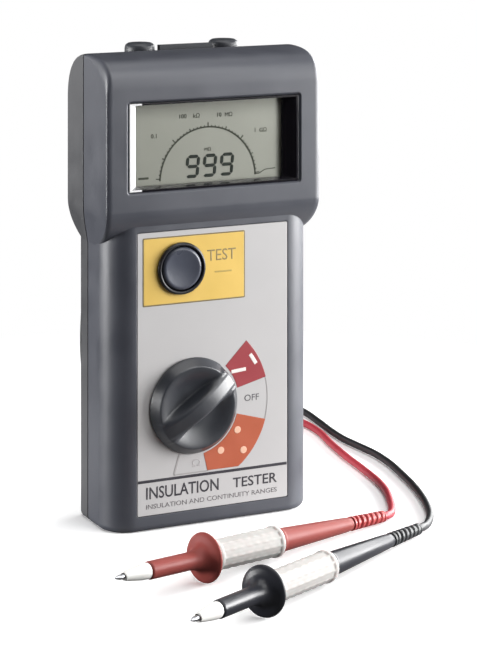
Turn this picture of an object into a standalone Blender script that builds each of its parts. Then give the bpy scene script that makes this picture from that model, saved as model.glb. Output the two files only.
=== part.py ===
"""Handheld insulation resistance tester with its two test leads.

Frame: metres, +Z up. The origin is the centre of the instrument's bottom face.
The display and controls face -Y and +X is to the right of a person facing them.
Sizes and helper arguments are in millimetres.
"""

import math

import bmesh
import bpy
from mathutils import Matrix, Vector

MM = 0.001

# ---- driving dimensions ----------------------------------------------------
# A name ending in _X is a half width when the part is centred on X = 0.
BODY_HALF = 47.0  # half width of the grip
BODY_FRONT, BODY_REAR = -18.6, 17.0
BODY_FRONT_R, BODY_REAR_R = 12.0, 6.0
BODY_TOP = 150.0  # the grip's prism ends inside the head
FOOT_ROUND = 2.0
HEAD_HALF = 49.0
HEAD_FRONT, HEAD_REAR, HEAD_TOP = -21.0, 22.9, 195.2
END_ROUND = 2.5  # how far in from its ends the head starts to round over
CAP_INSET = 1.0
SHOULDER_TOP = 132.0  # the head narrows below this height
WALL, FRONT_WALL = 2.2, 2.5
SEAM_Y = 4.5
SEAM_GAP = 0.4  # from the seam plane to each cover
FRONT_EDGE, REAR_EDGE = SEAM_Y - SEAM_GAP, SEAM_Y + SEAM_GAP
WINDOW_X, WINDOW_Z0, WINDOW_Z1 = 39.2, 139.9, 176.6
LABEL_X, LABEL_Z0, LABEL_Z1 = 34.5, 6.6, 122.7
KNOB_X, KNOB_Z, KNOB_R = -9.3, 49.8, 19.9
BUTTON_X, BUTTON_Z = -14.9, 107.1
SOCKET_X, SOCKET_Y = 19.7, 12.9
POCKET_X, POCKET_FLOOR = 28.4, 178.0
PLUG_R = 6.5
BAY_X, BAY_Z0, BAY_Z1 = 17.6, 6.6, 111.4
CABLE_R = 1.6
# Cutters that leave the case run on to these planes.
CUT_FRONT, CUT_REAR, CUT_TOP = -30.0, 40.0, 215.0

SIDES = (("left", -1), ("right", 1))
# Level, distance from the middle, height, front end of the boss, rear face.
SCREWS = (
    ("lower", 40.5, 11.0, -11.0, BODY_REAR),
    ("upper", 41.2, 134.0, HEAD_FRONT + 2.0, HEAD_REAR),
)

# ---- scene -----------------------------------------------------------------
for old in list(bpy.data.objects):
    bpy.data.objects.remove(old, do_unlink=True)

PARTS = bpy.data.collections.new("insulation_tester")
CUTTERS = bpy.data.collections.new("cutters")
bpy.context.scene.collection.children.link(PARTS)
bpy.context.scene.collection.children.link(CUTTERS)


# ---- materials -------------------------------------------------------------
def material(name, colour, rough, metal=0.0, alpha=1.0):
    mat = bpy.data.materials.new(name)
    mat.use_nodes = True
    inputs = mat.node_tree.nodes["Principled BSDF"].inputs
    inputs["Base Color"].default_value = (*colour, 1.0)
    inputs["Roughness"].default_value = rough
    inputs["Metallic"].default_value = metal
    inputs["Alpha"].default_value = alpha
    return mat


CASE = material("case_plastic", colour=(0.075, 0.085, 0.105), rough=0.5)
SEAL = material("seal_rubber", colour=(0.02, 0.02, 0.022), rough=0.8)
GLOSS = material("bezel_gloss", colour=(0.01, 0.01, 0.012), rough=0.12)
CLEAR = material("window_clear", colour=(0.9, 0.95, 0.95), rough=0.05, alpha=0.2)
LCD = material("lcd_glass", colour=(0.40, 0.41, 0.34), rough=0.3)
WHITE = material("white_plastic", colour=(0.8, 0.8, 0.78), rough=0.5)
LABEL = material("label_film", colour=(0.72, 0.71, 0.71), rough=0.45)
BUTTON = material("button_grey", colour=(0.09, 0.10, 0.12), rough=0.45)
BLACK = material("black_plastic", colour=(0.012, 0.013, 0.016), rough=0.4)
STEEL = material("steel", colour=(0.6, 0.6, 0.6), rough=0.3, metal=1.0)
BRASS = material("brass", colour=(0.75, 0.55, 0.25), rough=0.3, metal=1.0)
BOARD = material("board_green", colour=(0.03, 0.18, 0.08), rough=0.5)
CELL = material("cell_jacket", colour=(0.1, 0.1, 0.12), rough=0.35, metal=0.6)
GLASS = material("fuse_glass", colour=(0.8, 0.85, 0.85), rough=0.05, alpha=0.4)
RED = material("red_plastic", colour=(0.5, 0.06, 0.07), rough=0.4)
RED_CABLE = material("red_cable_skin", colour=(0.42, 0.04, 0.05), rough=0.5)
BLACK_CABLE = material("black_cable_skin", colour=(0.015, 0.015, 0.017), rough=0.5)
COLLAR = material("collar_clear", colour=(0.75, 0.72, 0.72), rough=0.3, alpha=0.6)


# ---- modelling helpers -----------------------------------------------------
def place(name, data, mat):
    """Make an object. Without a material it is a hidden helper for a boolean."""
    obj = bpy.data.objects.new(name, data)
    if mat is None:
        CUTTERS.objects.link(obj)
        obj.hide_render = True
        obj.display_type = "WIRE"
    else:
        PARTS.objects.link(obj)
        data.materials.append(mat)
    return obj


def from_bmesh(name, bm, mat=None):
    bmesh.ops.recalc_face_normals(bm, faces=bm.faces)
    mesh = bpy.data.meshes.new(name)
    bm.to_mesh(mesh)
    bm.free()
    return place(name, mesh, mat)


def block(name, low, high, mat=None, round_by=0.0):
    """A box between two corners, its edges rounded when asked."""
    bm = bmesh.new()
    bmesh.ops.create_cube(bm, size=1.0)
    size = [(b - a) * MM for a, b in zip(low, high)]
    middle = [(b + a) / 2 * MM for a, b in zip(low, high)]
    bmesh.ops.scale(bm, vec=size, verts=bm.verts)
    bmesh.ops.translate(bm, vec=middle, verts=bm.verts)
    if round_by:
        bmesh.ops.bevel(
            bm, geom=bm.edges[:], offset=round_by * MM, segments=2,
            profile=0.5, affect="EDGES",
        )
    return from_bmesh(name, bm, mat)


def rod(name, start, end, radius, end_radius=None, segments=24):
    """A helper cylinder or cone from one point to another."""
    a, b = Vector(start) * MM, Vector(end) * MM
    bm = bmesh.new()
    bmesh.ops.create_cone(
        bm, cap_ends=True, segments=segments, radius1=radius * MM,
        radius2=(radius if end_radius is None else end_radius) * MM, depth=(b - a).length,
    )
    turn = (b - a).to_track_quat("Z", "Y").to_matrix().to_4x4()
    bmesh.ops.transform(bm, matrix=Matrix.Translation((a + b) / 2) @ turn, verts=bm.verts)
    return from_bmesh(name, bm)


def rod_y(name, x, z, y0, y1, radius, **options):
    return rod(name, (x, y0, z), (x, y1, z), radius, **options)


def rod_z(name, x, y, z0, z1, radius, **options):
    return rod(name, (x, y, z0), (x, y, z1), radius, **options)


def turned(name, profile, at, axis, mat, steps=24, closed=False):
    """A profile of (radius, height) spun about `axis` through `at`.

    An open profile starts and ends on the axis. A closed one makes a ring."""
    mesh = bpy.data.meshes.new(name)
    count = len(profile)
    edges = [(i, i + 1) for i in range(count - 1)]
    if closed:
        edges.append((count - 1, 0))
    mesh.from_pydata([(r * MM, 0.0, h * MM) for r, h in profile], edges, [])
    obj = place(name, mesh, mat)
    obj.location = [v * MM for v in at]
    obj.rotation_mode = "QUATERNION"
    obj.rotation_quaternion = Vector(axis).to_track_quat("Z", "Y")
    spin = obj.modifiers.new("spin", "SCREW")
    spin.axis = "Z"
    spin.angle = 2 * math.pi
    spin.steps = spin.render_steps = steps
    spin.use_merge_vertices = True
    spin.merge_threshold = 0.00001
    spin.use_smooth_shade = True
    return obj


def add_line(curve, points, closed=False):
    spline = curve.splines.new("POLY")
    spline.points.add(len(points) - 1)
    for point, (x, y, z) in zip(spline.points, points):
        point.co = (x * MM, y * MM, z * MM, 1.0)
    spline.use_cyclic_u = closed


def wire(name, points, radius, resolution, mat):
    """A round wire through the points, closed at its ends."""
    curve = bpy.data.curves.new(name, "CURVE")
    curve.dimensions = "3D"
    curve.bevel_depth = radius * MM
    curve.bevel_resolution = resolution
    curve.use_fill_caps = True
    add_line(curve, points)
    return place(name, curve, mat)


def curve_to_mesh(obj):
    bpy.context.view_layer.update()
    graph = bpy.context.evaluated_depsgraph_get()
    mesh = bpy.data.meshes.new_from_object(obj.evaluated_get(graph))
    bm = bmesh.new()
    bm.from_mesh(mesh)
    bmesh.ops.remove_doubles(bm, verts=bm.verts, dist=0.000002)
    bmesh.ops.recalc_face_normals(bm, faces=bm.faces)
    bm.to_mesh(mesh)
    bm.free()
    return mesh


def prism(name, outlines, axis, low, high, mat=None):
    """Flat outlines (the first one outer, the rest holes) pulled from `low` to
    `high` along an axis. Outlines are (X, Z) for Y and (X, Y) for Z."""
    curve = bpy.data.curves.new(name, "CURVE")
    curve.dimensions = "2D"
    curve.fill_mode = "BOTH"
    curve.extrude = (high - low) / 2 * MM
    for outline in outlines:
        add_line(curve, [(u, v, 0.0) for u, v in outline], closed=True)
    guide = bpy.data.objects.new(name + "_guide", curve)
    PARTS.objects.link(guide)
    middle = (low + high) / 2 * MM
    if axis == "Y":
        frame = Matrix(((1, 0, 0, 0), (0, 0, -1, middle), (0, 1, 0, 0), (0, 0, 0, 1)))
    else:
        frame = Matrix.Translation((0, 0, middle))
    mesh = curve_to_mesh(guide)
    mesh.transform(frame)
    mesh.name = name
    bpy.data.objects.remove(guide, do_unlink=True)
    return place(name, mesh, mat)


def combine(obj, others, operation):
    for other in others:
        boolean = obj.modifiers.new(operation.lower(), "BOOLEAN")
        boolean.operation = operation
        boolean.object = other
        boolean.solver = "EXACT"


def cut(obj, *others):
    combine(obj, others, "DIFFERENCE")


def join(obj, *others):
    combine(obj, others, "UNION")


# ---- outlines --------------------------------------------------------------
def arc(cx, cy, radius, start, end, count):
    angles = [math.radians(start + (end - start) * i / count) for i in range(count + 1)]
    return [(cx + radius * math.cos(a), cy + radius * math.sin(a)) for a in angles]


def circle(cx, cy, radius, count):
    return arc(cx, cy, radius, 0, 360 * (count - 1) / count, count - 1)


def rounded(x0, x1, y0, y1, radii, count=3):
    """A rectangle with one radius, or one for each corner:
    low-low, high-low, high-high, low-high."""
    a, b, c, d = radii if isinstance(radii, tuple) else (radii,) * 4
    return (
        arc(x0 + a, y0 + a, a, 180, 270, count)
        + arc(x1 - b, y0 + b, b, 270, 360, count)
        + arc(x1 - c, y1 - c, c, 0, 90, count)
        + arc(x0 + d, y1 - d, d, 90, 180, count)
    )


def sweep(start, handle_a, handle_b, end, count):
    """A cubic from start to end, without its last point."""
    out = []
    for i in range(count):
        t = i / count
        weights = ((1 - t) ** 3, 3 * t * (1 - t) ** 2, 3 * t * t * (1 - t), t**3)
        points = (start, handle_a, handle_b, end)
        out.append(tuple(sum(w * p[j] for w, p in zip(weights, points)) for j in (0, 1)))
    return out


def inset(outline, by):
    """The outline moved inwards; it runs anticlockwise."""
    out = []
    for i, point in enumerate(outline):
        here = Vector(point)
        edge_in = (here - Vector(outline[i - 1])).normalized()
        edge_out = (Vector(outline[(i + 1) % len(outline)]) - here).normalized()
        normal = Vector((-edge_in.y, edge_in.x))
        mitre = (normal + Vector((-edge_out.y, edge_out.x))).normalized()
        reach = by / max(mitre.dot(normal), 0.5)
        out.append((point[0] + mitre.x * reach, point[1] + mitre.y * reach))
    return out


# ---- case shapes -----------------------------------------------------------
# Top front of the head from the side, a cubic of (Y, Z): crown, two handles, lower end.
# The end caps have a rounder corner than the section between them.
MAIN_BROW = ((2.0, HEAD_TOP), (-14.0, HEAD_TOP), (HEAD_FRONT, 193.0), (HEAD_FRONT, 182.0))
CAP_BROW = ((5.0, 195.0), (-9.0, 193.6), (-20.6, 187.6), (HEAD_FRONT, 179.0))
HEAD_LOW = (4.5, 114.0)  # lowest point of the head, (Y, Z)
HEAD_STRAIGHT_Z = 133.0  # front and rear faces run straight up from here
HEAD_LOW_HALF = 46.4
SHOULDER_HANDLE = (47.6, 121.0)
SHOULDER_STEEP_Z = 126.0
# Half width and height down the side of the head, from the shoulder.
SHOULDER_END = (HEAD_LOW_HALF, 112.0)
SHOULDER_LINE = sweep(
    (HEAD_HALF, SHOULDER_TOP), (HEAD_HALF, SHOULDER_STEEP_Z), SHOULDER_HANDLE, SHOULDER_END, 12,
) + [SHOULDER_END]
SHOULDER_CUTS = (SHOULDER_TOP, 128.0, 124.0, 120.0, 116.0)


def head_side(brow, count=9):
    """The head seen from the side, (Y, Z), anticlockwise from its lower end."""
    crown = brow[0]
    rear_low = (HEAD_REAR, HEAD_STRAIGHT_Z)
    front_low = (HEAD_FRONT, HEAD_STRAIGHT_Z)
    return (
        sweep(HEAD_LOW, (12.0, 116.0), (HEAD_REAR, 122.0), rear_low, count)
        + [rear_low]
        + sweep((HEAD_REAR, 176.0), (22.5, 190.5), (12.0, crown[1]), crown, count)
        + sweep(*brow, count)
        + [brow[-1]]
        + sweep(front_low, (HEAD_FRONT, 123.5), (-10.0, 115.5), HEAD_LOW, count)
    )


def head_share(z):
    """Width of the head at a height, as a share of its full width."""
    if z >= SHOULDER_TOP:
        return 1.0
    for (upper_x, upper_z), (lower_x, lower_z) in zip(SHOULDER_LINE, SHOULDER_LINE[1:]):
        if lower_z <= z <= upper_z:
            along = (z - lower_z) / (upper_z - lower_z)
            return (lower_x + (upper_x - lower_x) * along) / HEAD_HALF
    return HEAD_LOW_HALF / HEAD_HALF


def head_solid(name, by=0.0):
    """The head lofted along X: one section for its length, rounding over to each end cap."""
    main = inset(head_side(MAIN_BROW), by)
    cap = inset(head_side(CAP_BROW), by + CAP_INSET)
    half = HEAD_HALF - by
    sections = []
    for k in (3, 2, 1, 0):
        angle = math.pi / 2 * k / 3
        share = 1.0 - math.cos(angle)
        outline = [
            (y + (cap_y - y) * share, z + (cap_z - z) * share)
            for (y, z), (cap_y, cap_z) in zip(main, cap)
        ]
        sections.append((half - END_ROUND + END_ROUND * math.sin(angle), outline))
    sections = [(-x, o) for x, o in sections] + [(x, o) for x, o in reversed(sections)]
    bm = bmesh.new()
    rings = [[bm.verts.new((x * MM, y * MM, z * MM)) for y, z in o] for x, o in sections]
    for ring, following in zip(rings, rings[1:]):
        for i in range(len(ring)):
            j = (i + 1) % len(ring)
            bm.faces.new((ring[i], ring[j], following[j], following[i]))
    bm.faces.new(rings[0])
    bm.faces.new(list(reversed(rings[-1])))
    for z in SHOULDER_CUTS:
        bmesh.ops.bisect_plane(
            bm, geom=bm.verts[:] + bm.edges[:] + bm.faces[:],
            plane_co=(0, 0, z * MM), plane_no=(0, 0, 1), dist=0.0000001,
        )
    for v in bm.verts:
        v.co.x *= head_share(v.co.z / MM)
    bmesh.ops.triangulate(bm, faces=[f for f in bm.faces if len(f.verts) > 4])
    return from_bmesh(name, bm)


def grip_solid(name, by, front, top, mat=None):
    """The grip, inset by `by` and by `front` at its front, rounded at the foot."""
    front_r, rear_r = BODY_FRONT_R - front, BODY_REAR_R - by
    plan = rounded(
        -BODY_HALF + by, BODY_HALF - by, BODY_FRONT + front, BODY_REAR - by,
        (front_r, front_r, rear_r, rear_r), 8,
    )
    obj = prism(name, [plan], "Z", by, top, mat)
    bm = bmesh.new()
    bm.from_mesh(obj.data)
    foot = [
        e for e in bm.edges
        if all(v.co.z < (by + 0.01) * MM for v in e.verts)
        and any(abs(f.normal.z) < 0.5 for f in e.link_faces)
    ]
    bmesh.ops.bevel(
        bm, geom=foot, offset=FOOT_ROUND * MM, segments=2, profile=0.5, affect="EDGES"
    )
    bm.to_mesh(obj.data)
    bm.free()
    return obj


def case_section(by):
    """The case cut at the seam plane, (X, Z), anticlockwise."""
    head, body = HEAD_HALF - by, BODY_HALF - by
    handle_x, handle_z = SHOULDER_HANDLE
    right = sweep(
        (head, SHOULDER_TOP), (head, SHOULDER_STEEP_Z), (handle_x - by, handle_z),
        (body, 116.0), 6,
    ) + [(body, 116.0), (body, 3.0 + by)]
    base = [(body - 3.0, by), (-body + 3.0, by)]
    left = [(-x, z) for x, z in reversed(right)]
    top = [(-head, HEAD_TOP - by), (head, HEAD_TOP - by)]
    return list(reversed(right + base + left + top))


# ---- case covers -----------------------------------------------------------
head_outer = head_solid("head_outer")
hollow = grip_solid("hollow", WALL, FRONT_WALL, BODY_TOP - 3.0)
join(hollow, head_solid("head_inner", FRONT_WALL))


def shell(name, other_half):
    """The hollow case less the half beyond the seam."""
    obj = grip_solid(name, 0.0, 0.0, BODY_TOP, CASE)
    join(obj, head_outer)
    cut(obj, hollow, other_half)
    return obj


front_cover = shell("front_cover", block("front_side", (-70, FRONT_EDGE, -20), (70, 60, 220)))
rear_cover = shell("rear_cover", block("rear_side", (-70, -60, -20), (70, REAR_EDGE, 220)))


def screw_post(index, side_name, side):
    """The bosses of both covers and the screw that runs through them."""
    level, from_middle, z, front_y, rear_y = SCREWS[index]
    tag = f"{index}_{side_name}"
    x = side * from_middle

    join(front_cover, rod_y(f"front_boss_{tag}", x, z, front_y, FRONT_EDGE - 0.01, 3.2, segments=16))
    if level == "lower":
        # a rib ties the boss to the side wall
        x0, x1 = sorted((side * 42.0, side * 45.9))
        join(front_cover, block(f"front_rib_{tag}", (x0, -9.0, z - 1.1), (x1, 3.0, z + 1.1)))
    cut(front_cover, rod_y(f"front_pilot_{tag}", x, z, -6.0, SEAM_Y + 1.0, 1.7, segments=12))

    past = rear_y + 3.0
    join(rear_cover, rod_y(f"rear_boss_{tag}", x, z, REAR_EDGE + 0.01, rear_y - 0.7, 3.9, segments=16))
    cut(
        rear_cover,
        rod_y(f"rear_clearance_{tag}", x, z, 0.0, past, 1.8, segments=12),
        rod_y(f"rear_counterbore_{tag}", x, z, rear_y - 6.0, past, 3.2, segments=16),
    )

    name = f"case_screw_{level}_{side_name}"
    head_y = rear_y - 5.7  # underside of the screw head
    screw = turned(
        name,
        [
            (0, head_y + 2.2), (2.4, head_y + 2.2), (2.8, head_y + 1.8), (2.8, head_y),
            (1.35, head_y), (1.35, -4.5), (0.4, -5.5), (0, -5.5),
        ],
        (x, 0, z), (0, 1, 0), STEEL, steps=14,
    )
    slot_low, slot_high = (x - 0.4, head_y + 1.3, z - 2.0), (x + 0.4, head_y + 4, z + 2.0)
    cut(screw, block(f"{name}_slot", slot_low, slot_high))


for index in range(len(SCREWS)):
    for side_name, side in SIDES:
        screw_post(index, side_name, side)

# front openings
LABEL_GAP = 0.3
SPINDLE_HOLE_R, BUTTON_HOLE_R = 6.0, 10.3
label_recess = rounded(
    -LABEL_X - LABEL_GAP, LABEL_X + LABEL_GAP, LABEL_Z0 - LABEL_GAP, LABEL_Z1 + LABEL_GAP, 0.9
)
cut(
    front_cover,
    block("window_cut", (-WINDOW_X, CUT_FRONT, WINDOW_Z0), (WINDOW_X, -12, WINDOW_Z1)),
    prism("label_cut", [label_recess], "Y", -25, BODY_FRONT + 0.8),
    rod_y("spindle_hole", KNOB_X, KNOB_Z, CUT_FRONT, -10, SPINDLE_HOLE_R),
    rod_y("button_hole", BUTTON_X, BUTTON_Z, CUT_FRONT, -10, BUTTON_HOLE_R, segments=32),
)

# rear openings
plug_wells = [
    rod_z(f"plug_well_{name}", s * SOCKET_X, SOCKET_Y, POCKET_FLOOR, CUT_TOP, PLUG_R + 0.4)
    for name, s in SIDES
]
cut(
    rear_cover,
    prism("battery_opening", [rounded(-BAY_X, BAY_X, BAY_Z0, BAY_Z1, 2.0)], "Y", 12.0, 30.0),
    block("terminal_pocket", (-POCKET_X, 9.0, POCKET_FLOOR), (POCKET_X, CUT_REAR, CUT_TOP)),
    block("strip_slot", (-13.5, 6.9, POCKET_FLOOR), (12.5, 12, CUT_TOP)),
    *plug_wells,
)

# gasket in the seam
prism("case_seal", [case_section(0.9), case_section(2.0)], "Y", SEAM_Y - 0.2, SEAM_Y + 0.2, SEAL)

# ---- display ---------------------------------------------------------------
BEZEL_GAP = 0.3
BEZEL_X, BEZEL_Z0, BEZEL_Z1 = WINDOW_X - BEZEL_GAP, WINDOW_Z0 + BEZEL_GAP, WINDOW_Z1 - BEZEL_GAP
VIEW_X0, VIEW_X1, VIEW_Z0, VIEW_Z1 = -33.9, 32.0, 141.8, 174.8  # narrow rear end of the funnel
LCD_X = 37.0


def bezel_funnel():
    """The bezel's opening, narrower at the rear."""
    funnel = block("bezel_funnel", (-38.4, -21.0, 140.9), (38.4, -16.0, 175.6))
    for v in funnel.data.vertices:
        if v.co.y > -18.0 * MM:
            v.co.x = (VIEW_X0 if v.co.x < 0 else VIEW_X1) * MM
            v.co.z = (VIEW_Z0 if v.co.z < 158.0 * MM else VIEW_Z1) * MM
    return funnel


bezel = block("display_bezel", (-BEZEL_X, -20.6, BEZEL_Z0), (BEZEL_X, -17.4, BEZEL_Z1), GLOSS)
join(bezel, block("bezel_flange", (-41.5, -18.1, 137.6), (41.5, -16.6, 178.4)))
cut(bezel, bezel_funnel())
block("display_window", (-LCD_X, -16.3, 139.4), (LCD_X, -15.4, 177.4), CLEAR)
block("lcd_panel", (-LCD_X, -15.0, 139.0), (LCD_X, -13.2, 178.0), LCD)
lcd_frame = block("lcd_frame", (-38.0, -12.9, 137.4), (38.0, -6.0, 178.6), WHITE)
cut(
    lcd_frame,
    block("lcd_frame_cut", (-35.5, -14, 145.0), (35.5, -7.6, 176.5)),
    block("lcd_strip_cut", (-33.0, -14, 139.6), (33.0, -5, 143.4)),
)
block("lcd_connector", (-32.6, -12.9, 140.0), (32.6, -6.0, 143.0), SEAL)

# ---- front label -----------------------------------------------------------
prism(
    "front_label",
    [
        rounded(-LABEL_X, LABEL_X, LABEL_Z0, LABEL_Z1, 0.6),
        circle(BUTTON_X, BUTTON_Z, BUTTON_HOLE_R + 0.1, 24),
        circle(KNOB_X, KNOB_Z, SPINDLE_HOLE_R + 0.3, 16),
    ],
    "Y", BODY_FRONT, BODY_FRONT + 0.5, LABEL,
)

# ---- test button -----------------------------------------------------------
turned(
    "button_ring",
    [
        (9.9, 6.0), (9.9, 1.6), (10.8, 1.6), (10.8, 0.9),
        (10.3, 0.4), (9.6, 0.4), (9.25, 0.8), (9.25, 6.0),
    ],
    (BUTTON_X, BODY_FRONT - 2.0, BUTTON_Z), (0, 1, 0), BLACK, steps=32, closed=True,
)
turned(
    "test_button",
    [
        (0, 8.4), (2.0, 8.4), (2.0, 3.2), (7.6, 3.2), (7.6, 5.0), (8.9, 5.0),
        (8.9, 0.9), (8.4, 0.35), (6.5, 0.2), (3.0, 0.5), (0, 0.6),
    ],
    (BUTTON_X, BODY_FRONT - 2.2, BUTTON_Z), (0, 1, 0), BUTTON, steps=32,
)
SWITCH_HALF = 3.1
test_switch = block(
    "test_switch", (BUTTON_X - SWITCH_HALF, -9.0, BUTTON_Z - SWITCH_HALF),
    (BUTTON_X + SWITCH_HALF, -5.9, BUTTON_Z + SWITCH_HALF), BLACK,
)
join(test_switch, rod_y("test_switch_plunger", BUTTON_X, BUTTON_Z, -9.8, -8.0, 1.7, segments=12))

COIL_TURNS, COIL_POINTS = 4, 12
COIL_R, COIL_START, COIL_LENGTH = 5.6, 1.0, 9.0


def coil_point(i):
    angle = 2 * math.pi * i / COIL_POINTS
    y = COIL_START + COIL_LENGTH * i / (COIL_TURNS * COIL_POINTS)
    return (COIL_R * math.cos(angle), y, COIL_R * math.sin(angle))


coil = [coil_point(i) for i in range(COIL_TURNS * COIL_POINTS + 1)]
button_spring = wire("button_spring", coil, 0.35, 1, STEEL)
button_spring.location = (BUTTON_X * MM, -17.0 * MM, BUTTON_Z * MM)

# ---- range knob and its switch ---------------------------------------------
KNOB_REST = 34.0  # degrees the bar stands above +X at rest
KNOB_Y = BODY_FRONT - 4.6
BAR_X0, BAR_X1 = -17.2, 18.8
BAR_REAR = 2.5


def bar_solid():
    """The raised bar across the knob, dished along its front."""
    stations = (BAR_X0, -13.0, -8.0, -3.0, 3.0, 8.0, 13.0, BAR_X1)
    outline = [(x, 0.0125 * x * x - 4.4) for x in stations]
    outline += [(BAR_X1, BAR_REAR), (BAR_X0, BAR_REAR)]
    bar = prism("knob_bar", [outline], "Z", -5.2, 5.2)
    for v in bar.data.vertices:
        if v.co.y < 2.0 * MM:
            v.co.z *= 0.7  # the sides of the bar lean inwards
    return bar


knob = turned(
    "range_knob",
    [
        (0, 4.2), (KNOB_R - 0.1, 4.2), (KNOB_R, 3.8), (17.7, 0.3), (17.1, -0.2),
        (16.2, 0.0), (12.0, 1.3), (8.0, 1.6), (0, 1.6),
    ],
    (KNOB_X, KNOB_Y, KNOB_Z), (0, 1, 0), BLACK, steps=40,
)
bar = bar_solid()
# takes a flat off the rim at one end of the bar
chord = block("knob_chord", (18.9, -12.0, -16.0), (30.0, 12.0, 16.0))
for helper in (bar, chord):
    helper.location = (KNOB_X * MM, KNOB_Y * MM, KNOB_Z * MM)
    helper.rotation_euler = (0, -math.radians(KNOB_REST), 0)
join(knob, bar)
cut(knob, chord, rod_y("knob_bore", KNOB_X, KNOB_Z, BODY_FRONT - 6.8, -10, 3.3, segments=16))
turned(
    "knob_spindle", [(0, 15.8), (3.0, 15.8), (3.0, 0.4), (2.6, 0), (0, 0)],
    (KNOB_X, BODY_FRONT - 6.2, KNOB_Z), (0, 1, 0), WHITE, steps=16,
)
turned(
    "switch_rotor", [(10.8, 3.4), (10.8, 0), (3.3, 0), (3.3, 3.4)],
    (KNOB_X, -12.4, KNOB_Z), (0, 1, 0), WHITE, closed=True,
)
turned(
    "rotary_switch", [(0, 7.4), (15.0, 7.4), (15.0, 0.0), (11.4, 0.0), (11.4, 5.0), (0, 5.0)],
    (KNOB_X, -13.3, KNOB_Z), (0, 1, 0), BLACK,
)

# ---- circuit board and the parts on it -------------------------------------
PART_BASE = -3.7  # front of the parts behind the board, Y
# Board outline, (X, Z).
BOARD_OUTLINE = [
    (-34, 8), (34, 8), (34, 20), (43, 20), (43, 122), (36, 126),
    (36, 186), (-36, 186), (-36, 126), (-43, 122), (-43, 20), (-34, 20),
]
prism("main_pcb", [BOARD_OUTLINE], "Y", -5.6, -4.0, BOARD)
core = block("transformer", (-30, PART_BASE, 126), (-8, 10.0, 142), STEEL)
join(core, block("transformer_bobbin", (-26, -3.0, 121), (-12, 12.5, 147), round_by=1.5))
block("relay", (0, PART_BASE, 120), (19, 7.5, 134), BLACK, round_by=0.5)
turned(
    "hv_capacitor",
    [(0, 24), (5.7, 24), (6.2, 23.4), (6.2, 1.8), (5.8, 1.4), (6.2, 1.0), (5.7, 0), (0, 0)],
    (1, 3.2, 145), (1, 0, 0), CELL, steps=20,
)
turned(
    "buzzer", [(0, 6.0), (1.2, 6.0), (1.2, 5.4), (6.3, 5.4), (6.3, 0), (0, 0)],
    (28, PART_BASE, 126), (0, 1, 0), BLACK, steps=20,
)

FUSE_Y, FUSE_Z = 1.2, 158.2
CLIP_X, CLIP_HALF = 8.6, 1.7
holder = block("fuse_holder", (-14, PART_BASE, FUSE_Z - 3.0), (14, -2.2, FUSE_Z + 3.0), STEEL)
for name, s in SIDES:
    x = s * CLIP_X
    low, high = (x - CLIP_HALF, -3.0, FUSE_Z - 3.3), (x + CLIP_HALF, 3.0, FUSE_Z + 3.3)
    join(holder, block(f"fuse_clip_{name}", low, high))
cut(
    holder,
    rod("fuse_nest", (-20, FUSE_Y, FUSE_Z), (20, FUSE_Y, FUSE_Z), 2.75, segments=16),
    block("fuse_mouth", (-20, FUSE_Y, FUSE_Z - 1.6), (20, 6, FUSE_Z + 1.6)),
)
turned(
    "fuse",
    [
        (0, 20), (2.2, 20), (2.4, 19.8), (2.4, 14.8), (2.15, 14.6),
        (2.15, 5.4), (2.4, 5.2), (2.4, 0.2), (2.2, 0), (0, 0),
    ],
    (-10, FUSE_Y, FUSE_Z), (1, 0, 0), GLASS, steps=14,
)

# ---- battery bay -----------------------------------------------------------
CELL_R, CELL_LEN = 7.1, 50.2
CELL_X, CELL_Y, CELL_Z = 7.5, 7.2, 9.0
CONTACT_X, CONTACT_Y0, CONTACT_Y1 = 15.0, 2.0, 12.4
tray = block("battery_tray", (-17.2, -1.7, 6.0), (17.2, 14.4, 113.2), BLACK)
cut(tray, block("tray_hollow", (-15.9, -0.3, 7.2), (15.9, 20, 112.0)))
for row, z in (("lower", CELL_Z), ("upper", CELL_Z + CELL_LEN + 0.5)):
    for name, s in SIDES:
        turned(
            f"cell_{row}_{name}",
            [
                (0, CELL_LEN), (2.6, CELL_LEN), (2.6, CELL_LEN - 1.2), (6.6, CELL_LEN - 1.2),
                (CELL_R, CELL_LEN - 1.8), (CELL_R, 0.5), (6.6, 0), (0, 0),
            ],
            (s * CELL_X, CELL_Y, z), (0, 0, 1), CELL, steps=20,
        )


def contact(row, z0, z1):
    low, high = (-CONTACT_X, CONTACT_Y0, z0), (CONTACT_X, CONTACT_Y1, z1)
    return block(f"battery_contact_{row}", low, high, STEEL)


upper = contact("upper", 111.1, 111.7)
lower = contact("lower", 7.5, 8.0)
for name, s in SIDES:
    at = (s * CELL_X, CELL_Y)
    join(upper, rod_z(f"contact_stud_{name}", *at, 110.25, 111.4, 2.2, segments=12))
    cone = rod_z(f"contact_cone_{name}", *at, 7.8, 8.7, 4.2, end_radius=2.4, segments=12)
    join(lower, cone)

COVER_GAP = 0.35
GROOVE_COUNT, GROOVE_PITCH, GROOVE_WIDTH = 5, 3.0, 1.2
LOCK_Z = 104.5
cover_outline = rounded(
    -BAY_X + COVER_GAP, BAY_X - COVER_GAP, BAY_Z0 + COVER_GAP, BAY_Z1 - COVER_GAP, 1.7
)
cover = prism("battery_cover", [cover_outline], "Y", 14.75, 16.9, CASE)
for i in range(GROOVE_COUNT):
    z = 84.0 + GROOVE_PITCH * i
    cut(cover, block(f"cover_groove_{i}", (-10, 16.3, z), (10, 20, z + GROOVE_WIDTH)))
cut(cover, rod_y("lock_hole", 0, LOCK_Z, 10, 30, 3.3, segments=20))
lock = turned(
    "cover_lock", [(0, 1.9), (2.7, 1.9), (3.0, 1.6), (3.0, 0.1), (0, 0.1)],
    (0, 14.85, LOCK_Z), (0, 1, 0), STEEL, steps=20,
)
cut(lock, block("lock_slot", (-2.6, 16.2, LOCK_Z - 0.5), (2.6, 20, LOCK_Z + 0.5)))

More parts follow.
